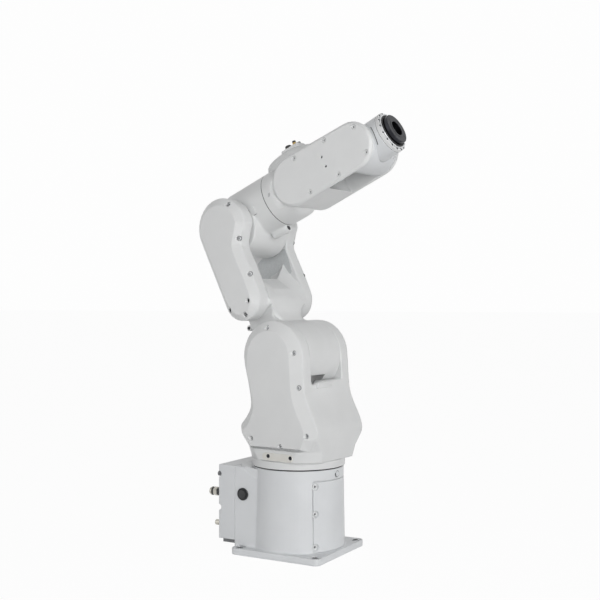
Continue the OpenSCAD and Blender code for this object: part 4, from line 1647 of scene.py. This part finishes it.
@dataclass
class Wrist:
    """Wrist with its clamp ring, seal and tool flange.

    Attributes:
        body: Body of the wrist.
        flange_body: Body of the tool flange.
        nose_r: Radius of the nose.
        rim: Wrist axis to the front of the nose's solid ring.
        barrel_r: Radius of the barrel about the wrist axis.
        barrel_half: Half length of the barrel.
        seal_r: Radius of the retaining ring round the flange.
        flange_r: Radius of the tool flange.
        flange_face: Wrist axis to the flange's face.
        bore_r: Radius of the centring bore.
        bolt_r: Radius of the bolt circle.
        seam_r: Radius of the seam round the wrist axis.
        seam_deg: First and last angle of that seam.
        crease_y: First and last place of the crease under the nose, across the wrist.
        crease_half: Half width of the crease at its ends, and how much it widens.
        screw_deg: Angle of the barrel's screw.
        screw_y: Its place along the barrel.
        ring_screws: Number of screws in the clamp ring.
        ring_screw_deg: Angle of the first of them.
    """

    body: str = "wrist"
    flange_body: str = "flange"
    nose_r: float = 43.0
    rim: float = 67.0
    barrel_r: float = 48.6
    barrel_half: float = 45.2
    seal_r: float = 39.2
    flange_r: float = 31.5
    flange_face: float = 84.0
    bore_r: float = 15.75
    bolt_r: float = 25.0
    seam_r: float = 52.8
    seam_deg: Point2 = (-25.0, 18.0)
    crease_y: Point2 = (-13.0, 23.0)
    crease_half: Point2 = (0.25, 1.9)
    screw_deg: float = -45.0
    screw_y: float = 36.0
    ring_screws: int = 16
    ring_screw_deg: float = 11.0

    def build(self) -> None:
        """Build and dress the wrist and the flange."""
        soft_copy("wrist_casting", "wrist_skin", self.body, WRIST_ENAMEL, PRESSED)
        self.barrel()
        self.clamp_ring()
        self.seal()
        self.flange()
        self.seam()
        self.crease()

    def crease(self) -> None:
        """Paint shade into the crease under the nose as a thin dark strip, and fit the screw beside
        it.
        """
        # Painted shade: a thin strip in the inner-shade grey along the crease.
        piece = Workpiece("wrist_crease_painted_shade", (INNER_SHADE,))
        loops = []
        steps = 16
        thin, growth = self.crease_half
        for step, y in enumerate(spread(self.crease_y, steps)):
            thick = thin + growth * math.sin(math.pi * step / steps)
            along = math.sqrt(self.barrel_r**2 - self.nose_r**2 + y * y) + 2.5
            out = Vector((0.0, y, -math.sqrt(self.nose_r**2 - y * y))).normalized()
            middle = Vector((along, 0.0, 0.0)) + out * (self.nose_r + 0.05)
            wide = Vector((1.0, 0.0, 0.0)) * thick
            loops.append([middle + wide, middle + out * 0.25, middle - wide, middle - out * 1.5])
        piece.loft(loops, POSE.wrist())
        piece.done(self.body)
        way = upright_way(self.screw_deg)
        spot = way * (self.barrel_r - 1.2) + Vector((0.0, self.screw_y, 0.0))
        screw = SunkScrew(POSE.wrist() @ pointing(way, spot), 2.9, 3.4)
        fit_screws("wrist_screw", self.body, (screw,))

    def barrel(self) -> None:
        """Turn the round barrel that fills the fork about the wrist axis."""
        piece = Workpiece("wrist_barrel", (WRIST_ENAMEL,))
        place = POSE.wrist() @ pointing(Axis.LEFT)
        piece.turned(drum_profile(self.barrel_r, self.barrel_half, 1.6, 12), place, 0, ROUND)
        piece.done(self.body)

    def clamp_ring(self) -> None:
        """Make the clamp ring, a thin ring of painted shade in its groove, and its small screws."""
        place = POSE.wrist() @ pointing(Axis.FRONT)
        r, rim = self.nose_r, self.rim
        piece = Workpiece("clamp_ring", (ENAMEL, HOLE_SHADE, BLACK_OXIDE))
        section = [
            (r - 10, rim - 4.6), (r - 0.4, rim - 4.6), (r, rim - 4.2), (r, rim + 2.4),
            (r - 0.7, rim + 3.1), (r - 4.2, rim + 3.1), (r - 10, rim + 3.1),
        ]
        piece.band(section, place, 0, ROUND)
        # Painted shade: a thin near-black ring where the groove is.
        piece.band(square_section(r - 0.5, r - 8, rim - 5.2, rim - 4.4), place, 1, ROUND)
        head = [(1.75, -1.0), (1.75, 1.0), (1.4, 1.4), (0.9, 1.4, 6), (0.85, 0.7, 6)]
        for index in range(self.ring_screws):
            angle = math.radians(360 / self.ring_screws * index + self.ring_screw_deg)
            spot = ((r - 2.1) * math.cos(angle), (r - 2.1) * math.sin(angle), rim + 2.6)
            piece.turned(head, place @ Matrix.Translation(spot), 2, 20)
        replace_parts(piece.done(self.body), "wrist_clamp_ring")

    def seal(self) -> None:
        """Make the pale retaining ring and the black lip seal round the flange."""
        place = POSE.wrist() @ pointing(Axis.FRONT)
        rim, r = self.rim, self.seal_r
        piece = Workpiece("flange_seal", (ZINC, NITRILE))
        retainer = [
            (r - 6, rim + 2.8), (r - 0.4, rim + 2.8), (r, rim + 3.2), (r, rim + 5.2),
            (r - 0.8, rim + 6.0), (r - 6, rim + 6.0),
        ]
        piece.band(retainer, place, 0, ROUND)
        black = r - 3.4
        lip = [
            (black - 4.0, rim + 2.0), (black, rim + 2.0), (black, rim + 7.0),
            (black - 0.6, rim + 7.6), (black - 2.0, rim + 7.6), (black - 2.6, rim + 6.8),
            (black - 4.0, rim + 6.8),
        ]
        piece.band(lip, place, 1, ROUND)
        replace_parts(piece.done(self.body), "wrist_seal_ring")

    def flange(self) -> None:
        """Make the tool flange: rim, face, centring bore, and tapped holes and dowel hole drawn as
        discs of painted shade.
        """
        place = POSE.wrist() @ pointing(Axis.FRONT)
        r, face, bore = self.flange_r, self.flange_face, self.bore_r
        piece = Workpiece("tool_flange_disc", (BLACK_OXIDE, HOLE_SHADE, NITRILE))
        section = [
            (bore, face - 11.5), (bore, face - 0.7), (bore + 0.7, face), (bore + 4.2, face),
            (bore + 4.6, face - 0.5), (r - 1.2, face - 0.5), (r, face - 1.5), (r, face - 7.6),
            (r - 1.2, face - 8.4), (r - 1.2, face - 16.0), (bore, face - 16.0),
        ]
        piece.band(section, place, 0, ROUND)
        # Painted shade: a dark disc at the bottom of the centring bore.
        piece.turned([(bore + 0.4, face - 15.6), (bore + 0.4, face - 11.4)], place, 1, 64)
        for index in range(4):
            out = level_way(45 + 90 * index) * self.bolt_r
            spot = place @ Matrix.Translation(out + Vector((0.0, 0.0, face - 0.55)))
            piece.band([(2.9, 0.0), (3.6, 0.12), (3.6, -0.2), (2.9, -0.2)], spot, 2, 28)
            # Painted shade: a dark disc in each tapped hole.
            piece.turned([(2.9, -0.1), (2.9, 0.08)], spot, 1, 28)
        # Painted shade: a dark disc in the dowel hole.
        dowel = place @ Matrix.Translation((self.bolt_r, 0.0, face - 0.55))
        piece.turned([(2.4, -0.1), (2.4, 0.08)], dowel, 1, 24)
        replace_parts(piece.done(self.flange_body), "tool_flange")

    def seam(self) -> None:
        """Paint the shadow of the gap along the seam round the wrist axis, a dark strip on both sides
        of the nose.
        """
        # Painted shadow: a near-black strip along the seam.
        piece = Workpiece("wrist_seam_painted_shadow", (HOLE_SHADE,))
        for side in (-1, 1):
            loops = []
            for degrees in spread(self.seam_deg, 28):
                way = upright_way(degrees)
                z = self.seam_r * way.z
                out = Vector((0.0, side * math.sqrt(self.nose_r**2 - z**2), z)).normalized()
                middle = Vector((self.seam_r * way.x, 0.0, 0.0)) + out * (self.nose_r - 0.15)
                wide = way * 1.1
                loops.append([middle + wide, middle + out * 0.45, middle - wide, middle - out])
            piece.loft(loops, POSE.wrist())
        piece.done(self.body)


@dataclass(frozen=True)
class Lamp:
    """A square soft lamp.

    Attributes:
        name: Its name.
        place: Where it hangs, in metres.
        size: Side of its panel, in metres.
        watts: Its power.
    """

    name: str
    place: Point3
    size: float
    watts: float


@dataclass
class Studio:
    """Camera, floor and soft light.

    Attributes:
        eye: Place of the camera, in metres.
        yaw: Turn of the view from +Y towards -X, in degrees.
        pitch: Tilt of the view above level, in degrees.
        focal_px: Focal length in pixels of a 600-pixel frame.
        centre_px: Pixel that the lens points at, in that frame.
        frame_px: Side of that frame.
        sensor_mm: Width of the camera's sensor.
        horizon_light: Strength of the surround at eye level.
        zenith_light: Strength of the surround overhead.
        zenith_from: Height, on a ball of radius 1, from which it is that weak.
        lit_side: Way towards the side of the studio that the surround lights most.
        far_share: Share of that light on the far side.
        side_range: Reach along lit_side over which the share grows to 1.
        backdrop: Strength of the white that shows behind the arm.
        floor_reach: How far the floor goes, in metres.
        floor_share: Share of plain white in the floor as it shows; the rest keeps the shadow.
        lamps: The lamps.
        lamp_aim: Place that they face, in metres.
    """

    eye: Point3 = (1.06135, -1.84479, 0.52139)
    yaw: float = 29.58
    pitch: float = 0.38
    focal_px: float = 1000.65
    centre_px: Point2 = (304.24, 297.40)
    frame_px: float = 600.0
    sensor_mm: float = 36.0
    horizon_light: float = 0.56
    zenith_light: float = 0.16
    zenith_from: float = 0.9
    lit_side: Point3 = (0.5, -0.87, 0.0)
    far_share: float = 0.32
    side_range: Point2 = (-0.7, 0.5)
    backdrop: float = 0.985
    floor_reach: float = 60.0
    floor_share: float = 0.965
    lamps: tuple[Lamp, ...] = (
        Lamp("key_panel", (2.0, -1.9, 0.9), 2.0, 36.0),
        Lamp("fill_panel", (-1.4, -2.4, 0.9), 2.2, 11.0),
        Lamp("side_panel", (2.5, 0.4, 0.4), 1.8, 12.0),
    )
    lamp_aim: Point3 = (0.0, 0.0, 0.45)

    def build(self) -> None:
        """Set up the camera, the floor, the surround and the lamps."""
        self.camera()
        self.floor()
        self.surround()
        for lamp in self.lamps:
            self.hang(lamp)
        bpy.context.scene.view_settings.view_transform = "Standard"

    def camera(self) -> None:
        """Stand the camera where the picture was taken from."""
        data = bpy.data.cameras.new("camera")
        data.sensor_width = self.sensor_mm
        data.lens = self.focal_px / self.frame_px * self.sensor_mm
        half = self.frame_px / 2
        data.shift_x = (half - self.centre_px[0]) / self.frame_px
        data.shift_y = (self.centre_px[1] - half) / self.frame_px
        data.clip_start = 0.05
        made = placed("camera", data)
        made.location = self.eye
        made.rotation_euler = (math.radians(90 + self.pitch), 0.0, math.radians(self.yaw))
        bpy.context.scene.camera = made

    def floor(self) -> None:
        """Lay a wide pale floor that keeps the arm's shadow."""
        data = bpy.data.meshes.new("floor")
        reach = self.floor_reach
        corners = [(-reach, -reach, 0), (reach, -reach, 0), (reach, reach, 0), (-reach, reach, 0)]
        data.from_pydata(corners, [], [(0, 1, 2, 3)])
        made = placed("floor", data)
        paint = bpy.data.materials.new("matt_white_studio_floor")
        paint.use_nodes = True
        tree = paint.node_tree
        tree.nodes.clear()
        matt = add(tree, "BsdfDiffuse", {"Color": linear("#F4F4F4")})
        glow = add(tree, "Emission", {"Color": WHITE, "Strength": 1.0})
        shown = {"0": self.seen(tree), "1": self.floor_share}
        seen = add(tree, "Math", shown, operation="MULTIPLY")
        parts = {"0": seen.outputs[0], "1": matt.outputs[0], "2": glow.outputs[0]}
        mix = add(tree, "MixShader", parts)
        add(tree, "OutputMaterial", {"Surface": mix.outputs[0]})
        data.materials.append(paint)

    def seen(self, tree: bpy.types.NodeTree) -> bpy.types.NodeSocket:
        """Tell the rays that show the backdrop to the eye, in metal or in glass.

        Args:
            tree: Node tree to add to.

        Returns:
            Socket that is 1 for such rays and 0 for those that light the arm.
        """
        path = add(tree, "LightPath")
        shown = path.outputs["Is Camera Ray"]
        for ray in ("Is Glossy Ray", "Is Transmission Ray"):
            either = {"0": shown, "1": path.outputs[ray]}
            shown = add(tree, "Math", either, operation="MAXIMUM").outputs[0]
        return shown

    def surround(self) -> None:
        """Surround the arm with soft white light, and show plain white behind it."""
        world = bpy.data.worlds.new("studio")
        bpy.context.scene.world = world
        world.use_nodes = True
        tree = world.node_tree
        tree.nodes.clear()
        place = add(tree, "TexCoord")
        around = place.outputs["Generated"]
        split = add(tree, "SeparateXYZ", {"Vector": around})
        aside = add(tree, "VectorMath", {"0": around, "1": self.lit_side}, operation="DOT_PRODUCT")
        fades = [
            (split.outputs["Z"], (0.0, self.zenith_from), (self.horizon_light, self.zenith_light)),
            (aside.outputs["Value"], self.side_range, (self.far_share, 1.0)),
        ]
        shares = []
        for value, (start, end), (low, high) in fades:
            span = {
                "Value": value, "From Min": start, "From Max": end, "To Min": low, "To Max": high,
            }
            shares.append(add(tree, "MapRange", span).outputs["Result"])
        power = add(tree, "Math", {"0": shares[0], "1": shares[1]}, operation="MULTIPLY")
        light = {"Color": WHITE, "Strength": power.outputs[0]}
        soft = add(tree, "Background", light)
        white = add(tree, "Background", {"Color": WHITE, "Strength": self.backdrop})
        parts = {"0": self.seen(tree), "1": soft.outputs[0], "2": white.outputs[0]}
        mix = add(tree, "MixShader", parts)
        add(tree, "OutputWorld", {"Surface": mix.outputs[0]})

    def hang(self, lamp: Lamp) -> None:
        """Hang a lamp that faces the middle of the arm.

        Args:
            lamp: The lamp.
        """
        data = bpy.data.lights.new(lamp.name, "AREA")
        data.size = lamp.size
        data.energy = lamp.watts
        made = placed(lamp.name, data)
        made.location = lamp.place
        aim = Vector(self.lamp_aim) - Vector(lamp.place)
        made.rotation_euler = aim.to_track_quat("-Z", "Y").to_euler()


def main() -> None:
    """Build the studio and every sub-assembly, in order."""
    logging.basicConfig(level=logging.INFO, format="%(name)s: %(message)s")
    Studio().build()
    for part in (Base(), Turret(), LowerArm(), Elbow(), Forearm(), Wrist()):
        part.build()


if __name__ == "__main__":
    main()
